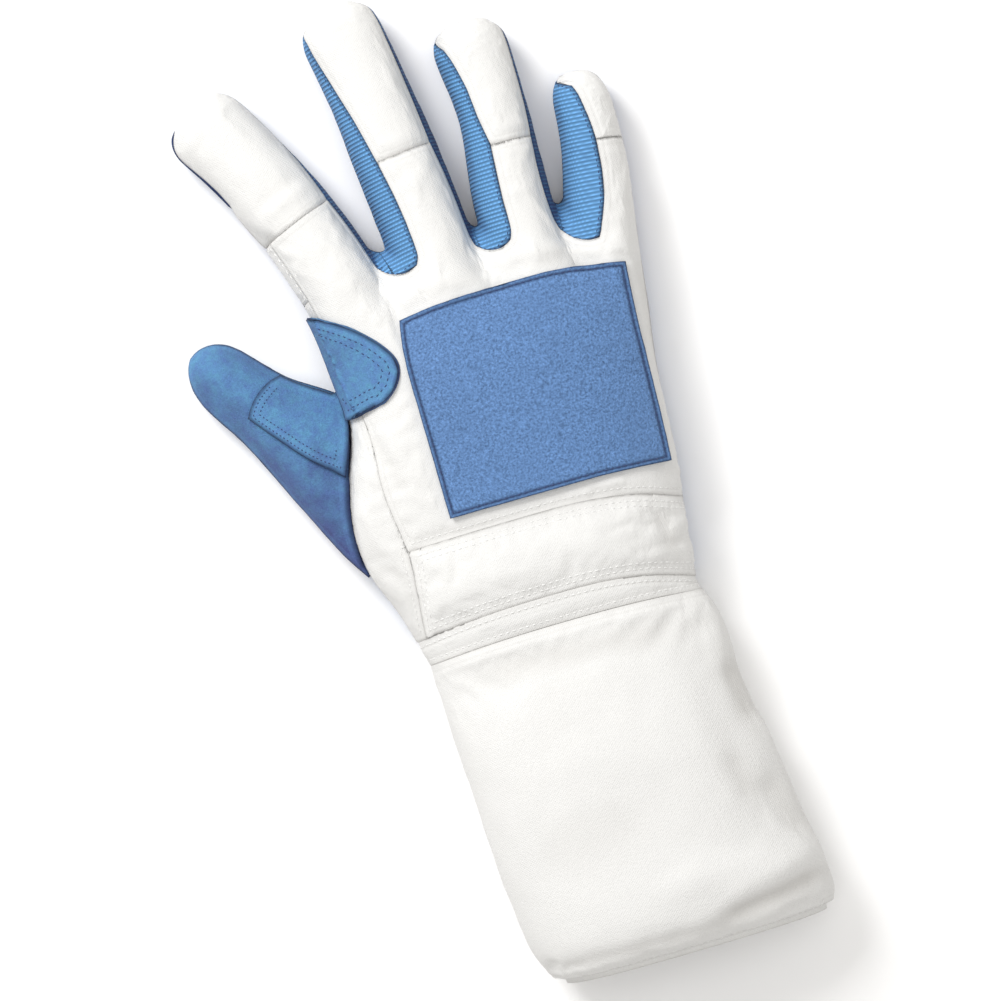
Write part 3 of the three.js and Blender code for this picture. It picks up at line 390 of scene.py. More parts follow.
def mottle_group():
    """Noise of three sizes: soft patches, grain and fine fibres."""
    group, start, end = new_group(
        "Soft Mottle",
        [("Vector", "NodeSocketVector", None)],
        [("Patches", "NodeSocketFloat"), ("Grain", "NodeSocketFloat"), ("Fibres", "NodeSocketFloat")],
    )
    vector = start.outputs["Vector"]
    patches = ramp_node(group, noise_node(group, vector, 45.0, 3.0, 0.55), 0.34, 0.68)
    grain = ramp_node(group, noise_node(group, vector, 1250.0, 3.0, 0.65), 0.3, 0.7)
    fibres = ramp_node(group, noise_node(group, vector, 2600.0, 2.0, 0.7), 0.28, 0.72)
    group.links.new(patches, end.inputs["Patches"])
    group.links.new(grain, end.inputs["Grain"])
    group.links.new(fibres, end.inputs["Fibres"])
    return group


def seam_group():
    """Masks beside a seam: Mask fades from the seam into the piece, Row marks a stitched line, and
    Band marks all between that line and the seam."""
    group, start, end = new_group(
        "Seam Shade",
        [
            ("Reach", "NodeSocketFloat", 0.002),
            ("Row Inset", "NodeSocketFloat", 0.0021),
            ("Row Width", "NodeSocketFloat", 0.0006),
        ],
        [("Mask", "NodeSocketFloat"), ("Row", "NodeSocketFloat"), ("Band", "NodeSocketFloat")],
    )
    distance = attribute_node(group, "seam_distance")
    share = math_node(group, "DIVIDE", distance, start.outputs["Reach"])
    mask = math_node(group, "SUBTRACT", 1.0, math_node(group, "MINIMUM", share, 1.0))
    away = math_node(group, "SUBTRACT", distance, start.outputs["Row Inset"])
    off = math_node(group, "DIVIDE", math_node(group, "ABSOLUTE", away), start.outputs["Row Width"])
    row = math_node(group, "SUBTRACT", 1.0, math_node(group, "MINIMUM", off, 1.0))
    outside = math_node(group, "LESS_THAN", distance, start.outputs["Row Inset"])
    group.links.new(mask, end.inputs["Mask"])
    group.links.new(row, end.inputs["Row"])
    group.links.new(outside, end.inputs["Band"])
    return group


def painted_light_group():
    """How much painted light a suede or mesh piece shows: its stored painted light value, with soft
    patches of random tone added.
    """
    group, start, end = new_group(
        "Painted Light",
        [("Vector", "NodeSocketVector", None), ("Unevenness", "NodeSocketFloat", 0.25)],
        [("Share", "NodeSocketFloat")],
    )
    patches = ramp_node(group, noise_node(group, start.outputs["Vector"], 120.0, 3.0, 0.6), 0.3, 0.7)
    centred = math_node(group, "SUBTRACT", patches, 0.5)
    uneven = math_node(group, "MULTIPLY", centred, start.outputs["Unevenness"])
    total = math_node(group, "ADD", attribute_node(group, "painted_light"), uneven)
    group.links.new(ramp_node(group, total, 0.0, 1.0), end.inputs["Share"])
    return group


def group_node(tree, group, **values):
    node = tree.nodes.new("ShaderNodeGroup")
    node.node_tree = group
    for name, value in values.items():
        socket = node.inputs[name.replace("_", " ")]
        if isinstance(value, float):
            socket.default_value = value
        else:
            tree.links.new(value, socket)
    return node


def bump(tree, height, strength, distance, normal=None):
    node = tree.nodes.new("ShaderNodeBump")
    node.inputs["Strength"].default_value = strength
    node.inputs["Distance"].default_value = distance
    tree.links.new(height, node.inputs["Height"])
    if normal is not None:
        tree.links.new(normal, node.inputs["Normal"])
    return node.outputs["Normal"]


def new_material(name, roughness, sheen):
    material = bpy.data.materials.new(name)
    material.use_nodes = True
    tree = material.node_tree
    shader = tree.nodes["Principled BSDF"]
    shader.inputs["Roughness"].default_value = roughness
    shader.inputs["Sheen Weight"].default_value = sheen
    shader.inputs["Specular IOR Level"].default_value = 0.2
    place = tree.nodes.new("ShaderNodeTexCoord").outputs["Object"]
    return material, tree, shader, place


def group_called(name, make):
    return bpy.data.node_groups.get(name) or make()


def mottled(tree, place):
    """The outputs of the soft mottle: Patches, Grain and Fibres."""
    return group_node(tree, group_called("Soft Mottle", mottle_group), Vector=place).outputs


def seamed_shade(tree, reach, inset, width):
    """The outputs of the seam shade: Mask, Row and Band."""
    group = group_called("Seam Shade", seam_group)
    return group_node(tree, group, Reach=reach, Row_Inset=inset, Row_Width=width).outputs


def woven(tree, place, threads):
    """The height of a weave with that many threads to the metre."""
    group = group_called("Woven Threads", weave_group)
    return group_node(tree, group, Vector=place, Threads_per_Metre=threads).outputs["Height"]


def painted_light_share(tree, place, unevenness):
    """How much of a suede or mesh piece is in painted light, from 0 for painted shade to 1."""
    group = group_called("Painted Light", painted_light_group)
    return group_node(tree, group, Vector=place, Unevenness=unevenness).outputs["Share"]


def finish_material(tree, shader, colour, normal):
    tree.links.new(colour, shader.inputs["Base Color"])
    tree.links.new(normal, shader.inputs["Normal"])


def white_cloth():
    """Dense white cloth with a fine weave and random mottle, with painted shade along its seams, in its
    stitched rows and in its sunken folds.
    """
    found = bpy.data.materials.get("White Padded Cloth")
    if found:
        return found
    material, tree, shader, place = new_material("White Padded Cloth", 0.88, 0.04)
    mottle = mottled(tree, place)
    seam = seamed_shade(tree, 0.0014, sizes().seam_inset, 0.0006)
    cloth = tuple(colours().cloth)
    soft = mix_colour(tree, mottle["Patches"], toned(cloth, 0.97), rgba(cloth))
    grained = mix_colour(tree, part_of(tree, mottle["Grain"], 0.5), soft, toned(cloth, 0.9))
    fibred = mix_colour(tree, part_of(tree, mottle["Fibres"], 0.3), grained, toned(cloth, 0.92))
    # Painted shade: darker along the seams, in the stitched row and in the sunken folds
    shade = part_of(tree, math_node(tree, "POWER", seam["Mask"], 1.5), 0.3)
    row_shade = part_of(tree, seam["Row"], 0.12)
    folded = part_of(tree, attribute_node(tree, "hollow"), 0.34)
    darkest = math_node(tree, "MAXIMUM", math_node(tree, "MAXIMUM", shade, row_shade), folded)
    colour = mix_colour(tree, darkest, fibred, rgba(colours().cloth_shade))
    fine = bump(tree, woven(tree, place, 1100.0), 0.3, 0.00015)
    normal = bump(tree, mottle["Grain"], 0.32, 0.0003, fine)
    finish_material(tree, shader, colour, normal)
    return material


def napped(tree, mottle, base, lightest):
    """One colour of suede with darker grain and lighter fibre ends."""
    dim = tree.nodes.new("ShaderNodeHueSaturation")
    dim.inputs["Value"].default_value = 0.6
    bright = tree.nodes.new("ShaderNodeHueSaturation")
    bright.inputs["Value"].default_value = lightest
    for node in (dim, bright):
        if isinstance(base, tuple):
            node.inputs["Color"].default_value = base
        else:
            tree.links.new(base, node.inputs["Color"])
    grained = mix_colour(tree, part_of(tree, mottle["Grain"], 0.7), base, dim.outputs["Color"])
    return mix_colour(tree, part_of(tree, mottle["Fibres"], 0.45), grained, bright.outputs["Color"])


def blue_suede():
    """Suede with grain, fibres and random clouds of tone, mixed from a copy in painted light and a copy
    in painted shade, with a painted highlight on the band just inside its seams, and darker along the
    seams: partly the cloth pulled into them, partly painted shade.
    """
    found = bpy.data.materials.get("Blue Suede")
    if found:
        return found
    material, tree, shader, place = new_material("Blue Suede", 0.95, 0.06)
    mottle = mottled(tree, place)
    seam = seamed_shade(tree, 0.0017, 0.003, 0.0005)
    suede = tuple(colours().suede)
    clouds = ramp_node(tree, noise_node(tree, place, 330.0, 3.0, 0.6), 0.3, 0.7)
    dull = rgba([c * k for c, k in zip(suede, (0.94, 0.86, 1.0))])
    fresh = rgba([c * k for c, k in zip(suede, (1.04, 1.2, 1.06))])
    # The suede in painted light and its copy in painted shade, mixed by how far each point faces the
    # light
    lit = napped(tree, mottle, mix_colour(tree, clouds, dull, fresh), 1.5)
    shaded = napped(tree, mottle, rgba(colours().suede_shadow), 1.9)
    light_and_shade = mix_colour(tree, painted_light_share(tree, place, 0.42), shaded, lit)
    # Painted highlight: a lighter band between the seam and its stitch row
    edge_highlight = mix_colour(tree, part_of(tree, seam["Band"], 0.12), light_and_shade, toned(suede, 1.5))
    # Darker along the seams: partly the seam's own dark, partly painted shade
    colour = mix_colour(tree, part_of(tree, seam["Mask"], 0.97), edge_highlight, rgba(colours().seam))
    fine = bump(tree, mottle["Fibres"], 0.4, 0.0003)
    normal = bump(tree, mottle["Grain"], 0.35, 0.0004, fine)
    finish_material(tree, shader, colour, normal)
    return material


def blue_mesh():
    """Knitted mesh with raised ribs across the finger, each a row of small loops; the rib tops carry
    painted light and the gaps between them painted shade, both darker on the side turned from the light.
    """
    found = bpy.data.materials.get("Blue Ribbed Mesh")
    if found:
        return found
    material, tree, shader, place = new_material("Blue Ribbed Mesh", 0.8, 0.05)
    mottle = mottled(tree, place)
    seam = seamed_shade(tree, 0.0013, 0.0012, 0.0005)
    painted_light = painted_light_share(tree, place, 0.3)
    turn = math.tau / sizes().rib_pitch
    along = part_of(tree, attribute_node(tree, "along"), turn)
    across = part_of(tree, attribute_node(tree, "across"), turn * 1.25)
    row = math_node(tree, "FLOOR", math_node(tree, "DIVIDE", along, math.tau))
    half_turn = part_of(tree, row, math.pi)
    loop = math_node(tree, "SINE", math_node(tree, "ADD", across, half_turn))
    rib_share = ramp_node(tree, math_node(tree, "SINE", along), -1.0, 0.8)
    loop_share = ramp_node(tree, loop, -1.0, 1.0)
    loop_height = math_node(tree, "ADD", part_of(tree, loop_share, 0.45), 0.55)
    height = math_node(tree, "MULTIPLY", rib_share, loop_height)
    mesh = tuple(colours().mesh)
    # Painted light and shade: the first colour is the rib tops in painted light, the second the painted
    # shade between the ribs; both grow darker on the side turned from the light
    lit = mix_colour(tree, painted_light, toned(mesh, 0.42), toned(mesh, 1.3))
    valley_shade = mix_colour(tree, painted_light, rgba(colours().mesh_shadow), toned(mesh, 0.55))
    ribbed = mix_colour(tree, height, valley_shade, lit)
    patchy = mix_colour(tree, part_of(tree, mottle["Patches"], 0.2), ribbed, toned(mesh, 0.8))
    # Darker along the seams: partly the seam's own dark, partly painted shade
    colour = mix_colour(tree, part_of(tree, seam["Mask"], 0.9), patchy, rgba(colours().seam))
    ribs = bump(tree, rib_share, 0.55, 0.0004)
    normal = bump(tree, height, 0.5, 0.0003, ribs)
    finish_material(tree, shader, colour, normal)
    return material


def blue_felt():
    """Thick looped felt with short fibres in lighter and darker blue, a painted highlight on the border
    outside its stitched groove, and painted shade in the groove and at its edge.
    """
    found = bpy.data.materials.get("Blue Felt")
    if found:
        return found
    material, tree, shader, place = new_material("Blue Felt", 1.0, 0.08)
    mottle = mottled(tree, place)
    seam = seamed_shade(tree, 0.0008, FELT_ROW, 0.0009)
    felt = tuple(colours().felt)
    specks = mix_colour(tree, mottle["Grain"], toned(felt, 0.42), toned(felt, 1.62))
    fibres = mix_colour(tree, part_of(tree, mottle["Fibres"], 0.4), specks, toned(felt, 0.9))
    patches = mix_colour(tree, part_of(tree, mottle["Patches"], 0.3), fibres, toned(felt, 0.86))
    # Painted highlight on the border between the edge and the stitched groove
    rim = mix_colour(tree, part_of(tree, seam["Band"], 0.2), patches, toned(felt, 1.2))
    # Painted shade in the stitched groove and at the very edge
    groove = part_of(tree, math_node(tree, "MAXIMUM", seam["Row"], seam["Mask"]), 0.8)
    colour = mix_colour(tree, groove, rim, rgba(colours().seam))
    loops = bump(tree, mottle["Grain"], 0.5, 0.0005)
    normal = bump(tree, mottle["Fibres"], 0.4, 0.0003, loops)
    finish_material(tree, shader, colour, normal)
    return material


def thread_material(name, colour):
    """Twisted sewing thread: a fine ply along each stitch."""
    found = bpy.data.materials.get(name)
    if found:
        return found
    material, tree, shader, place = new_material(name, 0.7, 0.2)
    fibres = mottled(tree, place)["Fibres"]
    shades = mix_colour(tree, fibres, toned(colour, 0.8), toned(colour, 1.15))
    finish_material(tree, shader, shades, bump(tree, woven(tree, place, 2600.0), 0.3, 0.0001))
    return material


# Cloth pieces

def wall_depths(bm):
    """How thick the solid is under each face, in metres."""
    tree = BVHTree.FromBMesh(bm)
    depths = {}
    for face in bm.faces:
        start = face.calc_center_median() - face.normal * 1e-5
        hit = tree.ray_cast(start, -face.normal)
        depths[face] = hit[3] if hit[0] is not None else 1.0
    return depths


def two_sides(bm, name):
    """The faces of a panel's outer side and of its inner side, without its narrow rim."""
    depths = wall_depths(bm)
    wall = float(np.median(list(depths.values())))
    wide = {f for f in bm.faces if depths[f] < 1.9 * wall}
    for degrees in (84, 76, 68, 60, 52, 44):
        left = set(wide)
        found = []
        while left:
            stack = [left.pop()]
            group = []
            while stack:
                face = stack.pop()
                group.append(face)
                for edge in face.edges:
                    if len(edge.link_faces) != 2 or edge.calc_face_angle(0.0) > math.radians(degrees):
                        continue
                    for other in edge.link_faces:
                        if other in left:
                            left.discard(other)
                            stack.append(other)
            found.append(group)
        found.sort(key=len, reverse=True)
        if len(found) > 1 and len(found[1]) > 0.8 * len(found[0]):
            return sorted(found[:2], key=lambda group: -sum(f.calc_area() for f in group))
    raise RuntimeError(f"{name}: its outer and inner sides can't be told apart")


class Cloth:
    """One piece of cloth while it is shaped: its points, normals, seam distances and outer share."""

    def __init__(self, node, levels, swell=None):
        self.node = node
        self.object = bpy.data.objects.new("dressed_" + node, self.merged_solid())
        bpy.context.scene.collection.objects.link(self.object)
        bpy.ops.object.select_all(action="DESELECT")
        bpy.context.view_layer.objects.active = self.object
        self.object.select_set(True)
        if swell is None:
            self.subdivide(levels)
        else:
            self.subdivide(levels - 1)
            self.read()
            self.relax()
            self.simulate(**swell)
            self.subdivide(1)
        bpy.ops.object.shade_smooth()
        self.read()

    def merged_solid(self, crease=0.75):
        """The solid's mesh with its points merged, its outer side marked and its folds crisp."""
        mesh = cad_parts[self.node].data.copy()
        mesh.materials.clear()
        bm = bmesh.new()
        bm.from_mesh(mesh)
        bmesh.ops.remove_doubles(bm, verts=bm.verts, dist=2e-5)
        share = bm.verts.layers.float.new("outer")
        sharp = bm.edges.layers.float.get("crease_edge") or bm.edges.layers.float.new("crease_edge")
        outer = two_sides(bm, self.node)[0]
        self.find_seam(bm, set(outer))
        self.flat_area = sum(f.calc_area() for f in outer)
        self.half_surface = sum(f.calc_area() for f in bm.faces) / 2
        for f in outer:
            for v in f.verts:
                v[share] = 1.0
        for e in bm.edges:
            if len(e.link_faces) == 2 and e.calc_face_angle(0.0) > math.radians(SHARP_EDGE):
                e[sharp] = crease
        bmesh.ops.join_triangles(
            bm,
            faces=bm.faces,
            angle_face_threshold=math.radians(40),
            angle_shape_threshold=math.radians(50),
        )
        bm.to_mesh(mesh)
        bm.free()
        return mesh

    def find_seam(self, bm, outer):
        """Lists places along the outer side's border, with the outer side's normal at each."""
        self.seam_points = []
        self.seam_ups = []
        for e in bm.edges:
            if {f in outer for f in e.link_faces} != {True, False}:
                continue
            up = next(f.normal.copy() for f in e.link_faces if f in outer)
            for p in self.spaced(e.verts[0].co.copy(), e.verts[1].co.copy()):
                self.seam_points.append(p)
                self.seam_ups.append(up)

    def subdivide(self, levels):
        smooth = self.object.modifiers.new("Smooth", "SUBSURF")
        smooth.levels = levels
        smooth.render_levels = levels
        smooth.use_limit_surface = False
        bpy.ops.object.modifier_apply(modifier=smooth.name)

    def held(self):
        """How firmly each point is held: 1 on the inner side and along the seams, 0 between them."""
        free = np.clip((self.distance - 0.0012) / 0.003, 0, 1) * (self.outer > OUTSIDE)
        return 1 - free * (1 - 0.85 * self.covered())

    def covered(self):
        """1 where a patch is sewn over the panel and holds it down, fading to 0 beside it."""
        if self.node not in WHITE_PADDED:
            return np.zeros(len(self.points))
        over = joined_tree([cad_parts[n] for n in ("back_patch", "crotch_patch")])
        far = np.array([over.find_nearest(Vector(p))[3] for p in self.points])
        return np.clip((0.0045 - far) / 0.0025, 0, 1)

    def group(self, name, weights):
        group = self.object.vertex_groups.new(name=name)
        for k, weight in enumerate(weights):
            if weight > 0:
                group.add([k], float(weight), "REPLACE")
        return group

    def relax(self):
        """Evens out the padding where a finger runs into the hand, away from the seams."""
        loose = self.group("loose", 1 - self.held())
        even = self.object.modifiers.new("Even", "SMOOTH")
        even.factor = 0.5
        even.iterations = 12
        even.vertex_group = loose.name
        bpy.ops.object.modifier_apply(modifier=even.name)
        self.object.vertex_groups.remove(self.object.vertex_groups["loose"])
        self.read()

    def simulate(self, pressure=5.0, growth=0.014, cap=0.0011, stiffness=12.0, bending=0.3, frames=20):
        """Swells the padding as cloth held along its seams, and keeps what it did within a cap."""
        scene = bpy.context.scene
        held = self.group("held", self.held())
        cloth = self.object.modifiers.new("Swell", "CLOTH")
        settings = cloth.settings
        settings.quality = 7
        settings.mass = 0.15
        settings.tension_stiffness = stiffness
        settings.compression_stiffness = stiffness
        settings.shear_stiffness = stiffness * 0.5
        settings.bending_stiffness = bending
        settings.shrink_min = -growth
        settings.use_pressure = True
        settings.uniform_pressure_force = pressure
        settings.vertex_group_mass = held.name
        settings.pin_stiffness = 1.0
        settings.effector_weights.gravity = 0.0
        cloth.collision_settings.use_collision = False
        cloth.collision_settings.use_self_collision = False
        cloth.point_cache.frame_start = 1
        cloth.point_cache.frame_end = frames
        for number in range(1, frames + 1):
            scene.frame_set(number)
        shaped = self.object.evaluated_get(bpy.context.evaluated_depsgraph_get()).data
        moved = np.empty(len(shaped.vertices) * 3)
        shaped.vertices.foreach_get("co", moved)
        step = moved.reshape(-1, 3) - self.points
        scene.frame_set(1)
        self.object.modifiers.remove(cloth)
        self.object.vertex_groups.remove(self.object.vertex_groups["held"])
        length = np.linalg.norm(step, axis=1)
        step *= (cap * np.tanh(length / cap) / np.maximum(length, 1e-9))[:, None]
        inward = np.minimum(np.einsum("ij,ij->i", step, self.normals) + 0.3 * cap, 0)
        self.points = self.points + step - inward[:, None] * self.normals
        self.object.data.vertices.foreach_set("co", self.points.ravel())
        self.object.data.update()

    @staticmethod
    def spaced(a, b, step=0.0006):
        count = max(1, int((b - a).length / step))
        return [a.lerp(b, k / count) for k in range(count + 1)]

    def read(self, measured=False):
        mesh = self.object.data
        count = len(mesh.vertices)
        self.points = np.empty(count * 3)
        mesh.vertices.foreach_get("co", self.points)
        self.points = self.points.reshape(-1, 3)
        self.outer = np.empty(count)
        mesh.attributes["outer"].data.foreach_get("value", self.outer)
        self.normals = np.empty(count * 3)
        mesh.vertex_normals.foreach_get("vector", self.normals)
        self.normals = self.normals.reshape(-1, 3)
        if not measured:
            self.measure()

    def measure(self):
        """Finds each point's distance to the seam, the seam's nearest place, and the way out there."""
        tree = KDTree(len(self.seam_points))
        for k, p in enumerate(self.seam_points):
            tree.insert(p, k)
        tree.balance()
        found = [tree.find(p) for p in self.points]
        self.distance = np.array([f[2] for f in found])
        self.nearest = np.array([f[0] for f in found])
        ups = np.array([self.seam_ups[f[1]] for f in found])
        self.ups = self.outward()
        share = np.clip(self.distance / 0.002, 0, 1) * (self.outer > OUTSIDE)
        out = ups * (1 - share)[:, None] + self.normals * share[:, None]
        self.out = out / np.maximum(np.linalg.norm(out, axis=1), 1e-9)[:, None]

    def write(self):
        mesh = self.object.data
        mesh.vertices.foreach_set("co", self.points.ravel())
        name = "seam_distance"
        stored = mesh.attributes.get(name) or mesh.attributes.new(name, "FLOAT", "POINT")
        stored.data.foreach_set("value", self.distance)
        mesh.update()

    def attribute(self, name, values):
        data = self.object.data.attributes.new(name, "FLOAT", "POINT")
        data.data.foreach_set("value", values)

    def outward(self):
        """The outer side's normal nearest to each point."""
        outside = np.flatnonzero(self.outer > OUTSIDE)
        tree = KDTree(len(outside))
        for k in outside:
            tree.insert(self.points[k], int(k))
        tree.balance()
        ups = np.array([self.normals[tree.find(p)[1]] for p in self.points])
        for _ in range(8):
            ups = np.column_stack([self.evened(ups[:, k]) for k in range(3)])
        return ups / np.maximum(np.linalg.norm(ups, axis=1), 1e-9)[:, None]

    def evened(self, values):
        """Values averaged with those of the points joined to each point."""
        if not hasattr(self, "joined"):
            edges = np.empty(len(self.object.data.edges) * 2, np.int32)
            self.object.data.edges.foreach_get("vertices", edges)
            self.joined = edges.reshape(-1, 2)
        total, count = values.copy(), np.ones(len(values))
        for a, b in ((0, 1), (1, 0)):
            np.add.at(total, self.joined[:, a], values[self.joined[:, b]])
            np.add.at(count, self.joined[:, a], 1)
        return total / count

    def push(self, heights):
        """Moves the points outwards by heights in metres, less towards the inner side."""
        self.points = self.points + self.out * (heights * self.outer)[:, None]


def close_seam(cloth, reach=0.0013):
    """Draws a panel's rim half of the way to the pieces beside it, so that their seam is shut."""
    beside = joined_tree([o for name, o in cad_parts.items() if name != cloth.node])
    rim = np.clip(2 * cloth.outer, 0, 1) * (cloth.outer < OUTSIDE)
    weights = np.maximum(rim, (cloth.outer >= OUTSIDE) * np.exp(-((cloth.distance / 0.0005) ** 2)))
    for k in np.flatnonzero(weights > 0.05):
        p = Vector(cloth.points[k])
        place, _, _, gap = beside.find_nearest(p, reach)
        if place is not None and gap > 4e-5:
            cloth.points[k] += np.array((place - p) * (0.5 - 2e-5 / gap) * weights[k])


def painted_light_of(cloth):
    """Painted light and shade at each point, from 0 to 1: lighter where the surface faces the light's
    side and darker where it turns away.
    """
    # On the mesh: painted light on the side turned to the light, painted shade on the side turned away
    if cloth.node in GUSSETS:
        return np.clip(0.15 + 1.1 * cloth.normals @ np.array(PAINTED_LIGHT_SIDE), 0, 1)
    # On the suede: the same painted light and shade, with surfaces facing up and down counted alike
    side = np.column_stack([cloth.normals[:, :2], np.abs(cloth.normals[:, 2])]) @ np.array(PAINTED_LIGHT_SIDE)
    painted_light = 0.33 + 0.85 * side
    # Painted shade: the thumb grows darker towards its base
    if cloth.node in ("thumb_back", "thumb_front"):
        painted_light -= 0.12 + 0.58 * np.clip((0.033 - cloth.points[:, 1]) / 0.072, 0, 1) ** 2
    # Painted shade: the palm is dark where it faces sideways or up, and lighter only where it faces down
    if cloth.node == "palm_panel":
        painted_light = 0.75 * np.clip(-0.2 - cloth.normals[:, 2], 0, 0.5) / 0.5
    return np.clip(painted_light, 0, 1)


def beside_line(flat, start, end):
    """How far along a line each flat point lies, from 0 to 1, and its distance from the line."""
    start, end = np.array(start, float), np.array(end, float)
    line = end - start
    share = np.clip(((flat - start) @ line) / (line @ line), 0, 1)
    return share, np.linalg.norm(flat - start - share[:, None] * line, axis=1)


def nudge(cloth, start, end, width, shift):
    """Moves the points beside a line, given in millimetres, across the glove by shift."""
    away = beside_line(cloth.points[:, :2] / MM, start, end)[1]
    weight = np.exp(-((away / width) ** 2))
    cloth.points[:, 0] += weight * shift[0] * MM
    cloth.points[:, 1] += weight * shift[1] * MM


def lower_edge(cloth):
    """Draws the index finger's raised lower edge down to the palm, less and less above it."""
    across, along, height = (cloth.points / MM).T
    places = [row["along"] for row in INDEX_RIM]
    edge = np.interp(along, places, [row["edge"] for row in INDEX_RIM])
    drop = np.interp(along, places, [row["drop"] for row in INDEX_RIM])
    pull = 1 - np.clip((height - edge) / INDEX_RIM_REACH, 0, 1)
    pull = np.where(across < INDEX_RIM_SIDE, pull * pull * (3 - 2 * pull), 0.0)
    cloth.points[:, 2] -= pull * drop * MM
    cloth.points[:, 0] += pull * drop * INDEX_RIM_LEAN * MM


def fold_heights(points):
    """The height of the folds over points in metres."""
    flat = points[:, :2] / MM
    total = np.zeros(len(flat))
    for fold in FOLDS:
        share, away = beside_line(flat, fold["start"], fold["end"])
        fade = np.clip(np.minimum(share, 1 - share) * 4 + 0.25, 0, 1)
        total += fold["height"] * fade * np.exp(-((away / fold["width"]) ** 2))
    return total * MM


def waves(points, size, seed):
    """Smooth noise from -1 to 1 over points, with waves of about that size in metres."""
    shift = Vector((seed * 7.3, seed * 3.1, seed * 5.7))
    return np.array([noise.noise(Vector(p) / size + shift) for p in points])


def shape_padding(cloth, puff=1.0, pucker=1.0, rolling=1.0, seed=1):
    """Swells a padded panel between its seams, pulls the seams in, and folds and puckers it."""
    close_seam(cloth)
    # Painted shade for the white cloth, strongest where its folds sink furthest
    cloth.hollow = np.clip(-fold_heights(cloth.points) / 0.0016, 0, 1) * (cloth.outer > OUTSIDE)
    inward = cloth.distance
    at_seam = np.exp(-((inward / 0.0011) ** 2))
    row = np.exp(-(((inward - sizes().seam_inset) / 0.0008) ** 2))
    swell = 1 - np.exp(-((inward / 0.0065) ** 2))
    short_waves = waves(cloth.nearest, 0.0036, seed) * np.exp(-inward / 0.0045) * (1 - at_seam)
    long_waves = waves(cloth.nearest, 0.011, seed + 3) * np.exp(-inward / 0.009) * (1 - at_seam)
    broad = 0.00035 * waves(cloth.points, 0.024, seed + 5)
    fine = 0.00012 * waves(cloth.points, 0.008, seed + 8)
    heights = (
        sizes().puff * puff * swell
        - 0.00042 * at_seam
        - 0.00022 * row
        + sizes().pucker * pucker * (short_waves * 1.6 + long_waves * 1.5)
        + rolling * (broad + fine) * swell
        + fold_heights(cloth.points)
    ) * (1 - 0.6 * cloth.covered())
    top = np.clip(cloth.normals[:, 2] * 2 + 0.6, 0, 1)
    cloth.push(heights * np.where(cloth.points[:, 2] < 0.004, 0, 1) * np.maximum(top, 0.15))


def shape_thin(cloth, pucker=1.0, seed=1, seamed=True):
    """Wrinkles a thin panel a little and rolls its edge over."""
    if seamed:
        close_seam(cloth)
    inward = cloth.distance
    edge = np.exp(-((inward / 0.0009) ** 2))
    seam_waves = waves(cloth.nearest, 0.0032, seed) * np.exp(-inward / 0.003) * (1 - edge)
    wrinkles = 0.00016 * waves(cloth.points, 0.009, seed + 4)
    heights = sizes().pucker * pucker * seam_waves + wrinkles - 0.0002 * edge
    cloth.push(heights * np.where(cloth.points[:, 2] < 0.0015, 0, 1))


def joined_tree(objects):
    """One search tree over the faces of several objects."""
    points, faces = [], []
    for shown in objects:
        start = len(points)
        points += [v.co.copy() for v in shown.data.vertices]
        faces += [[start + k for k in p.vertices] for p in shown.data.polygons]
    return BVHTree.FromPolygons(points, faces)


def in_plan(point):
    """A point as it is seen from straight above."""
    return Vector((point[0], point[1], 0))


def plan_tree(points):
    """A search tree over points as they are seen from straight above."""
    tree = KDTree(len(points))
    for k, p in enumerate(points):
        tree.insert(in_plan(p), k)
    tree.balance()
    return tree


def flatten(cloth, share=0.85, degree=3):
    """Smooths stiff felt towards one gentle curve and measures its seam from straight above."""
    x, y, z = (cloth.points / FELT_SPAN).T
    powers = [(i, j) for i in range(degree + 1) for j in range(degree + 1 - i)]
    terms = np.column_stack([x**i * y**j for i, j in powers])
    top = np.flatnonzero(cloth.outer > OUTSIDE)
    curve = np.linalg.lstsq(terms[top], z[top], rcond=None)[0]
    bumps = z[top] - terms[top] @ curve
    tops = plan_tree(cloth.points[top])
    nearest = [tops.find(in_plan(p))[1] for p in cloth.points]
    cloth.points[:, 2] -= share * FELT_SPAN * bumps[nearest]
    edge = plan_tree(cloth.seam_points)
    cloth.distance = np.array([edge.find(in_plan(p))[2] for p in cloth.points])


def carried(cloth, nodes, shaped, sink):
    """How far each point rises as the solids below it give way to the shaped pieces."""
    below = joined_tree([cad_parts[n] for n in nodes])
    moved = []
    for p in cloth.points:
        p = Vector(p)
        place, _, _, height = below.find_nearest(p)
        target, normal, _, _ = shaped.find_nearest(place)
        up = (p - place).normalized() if height > 1e-5 else normal
        moved.append(target + up * max(height - sink, 0.0))
    heights = np.einsum("ij,ij->i", np.array(moved) - cloth.points, cloth.ups)
    for _ in range(14):
        heights = cloth.evened(heights)
    return heights


def room_above(shaped, point, flat):
    """The room between a point and the pieces below it, straight down where the patch is flat."""
    if flat:
        place = shaped.ray_cast(Vector((point.x, point.y, 1.0)), Vector((0, 0, -1)))[0]
        if place is not None:
            return point.z - place.z
    place, normal, _, _ = shaped.find_nearest(point)
    return (point - place).dot(normal)


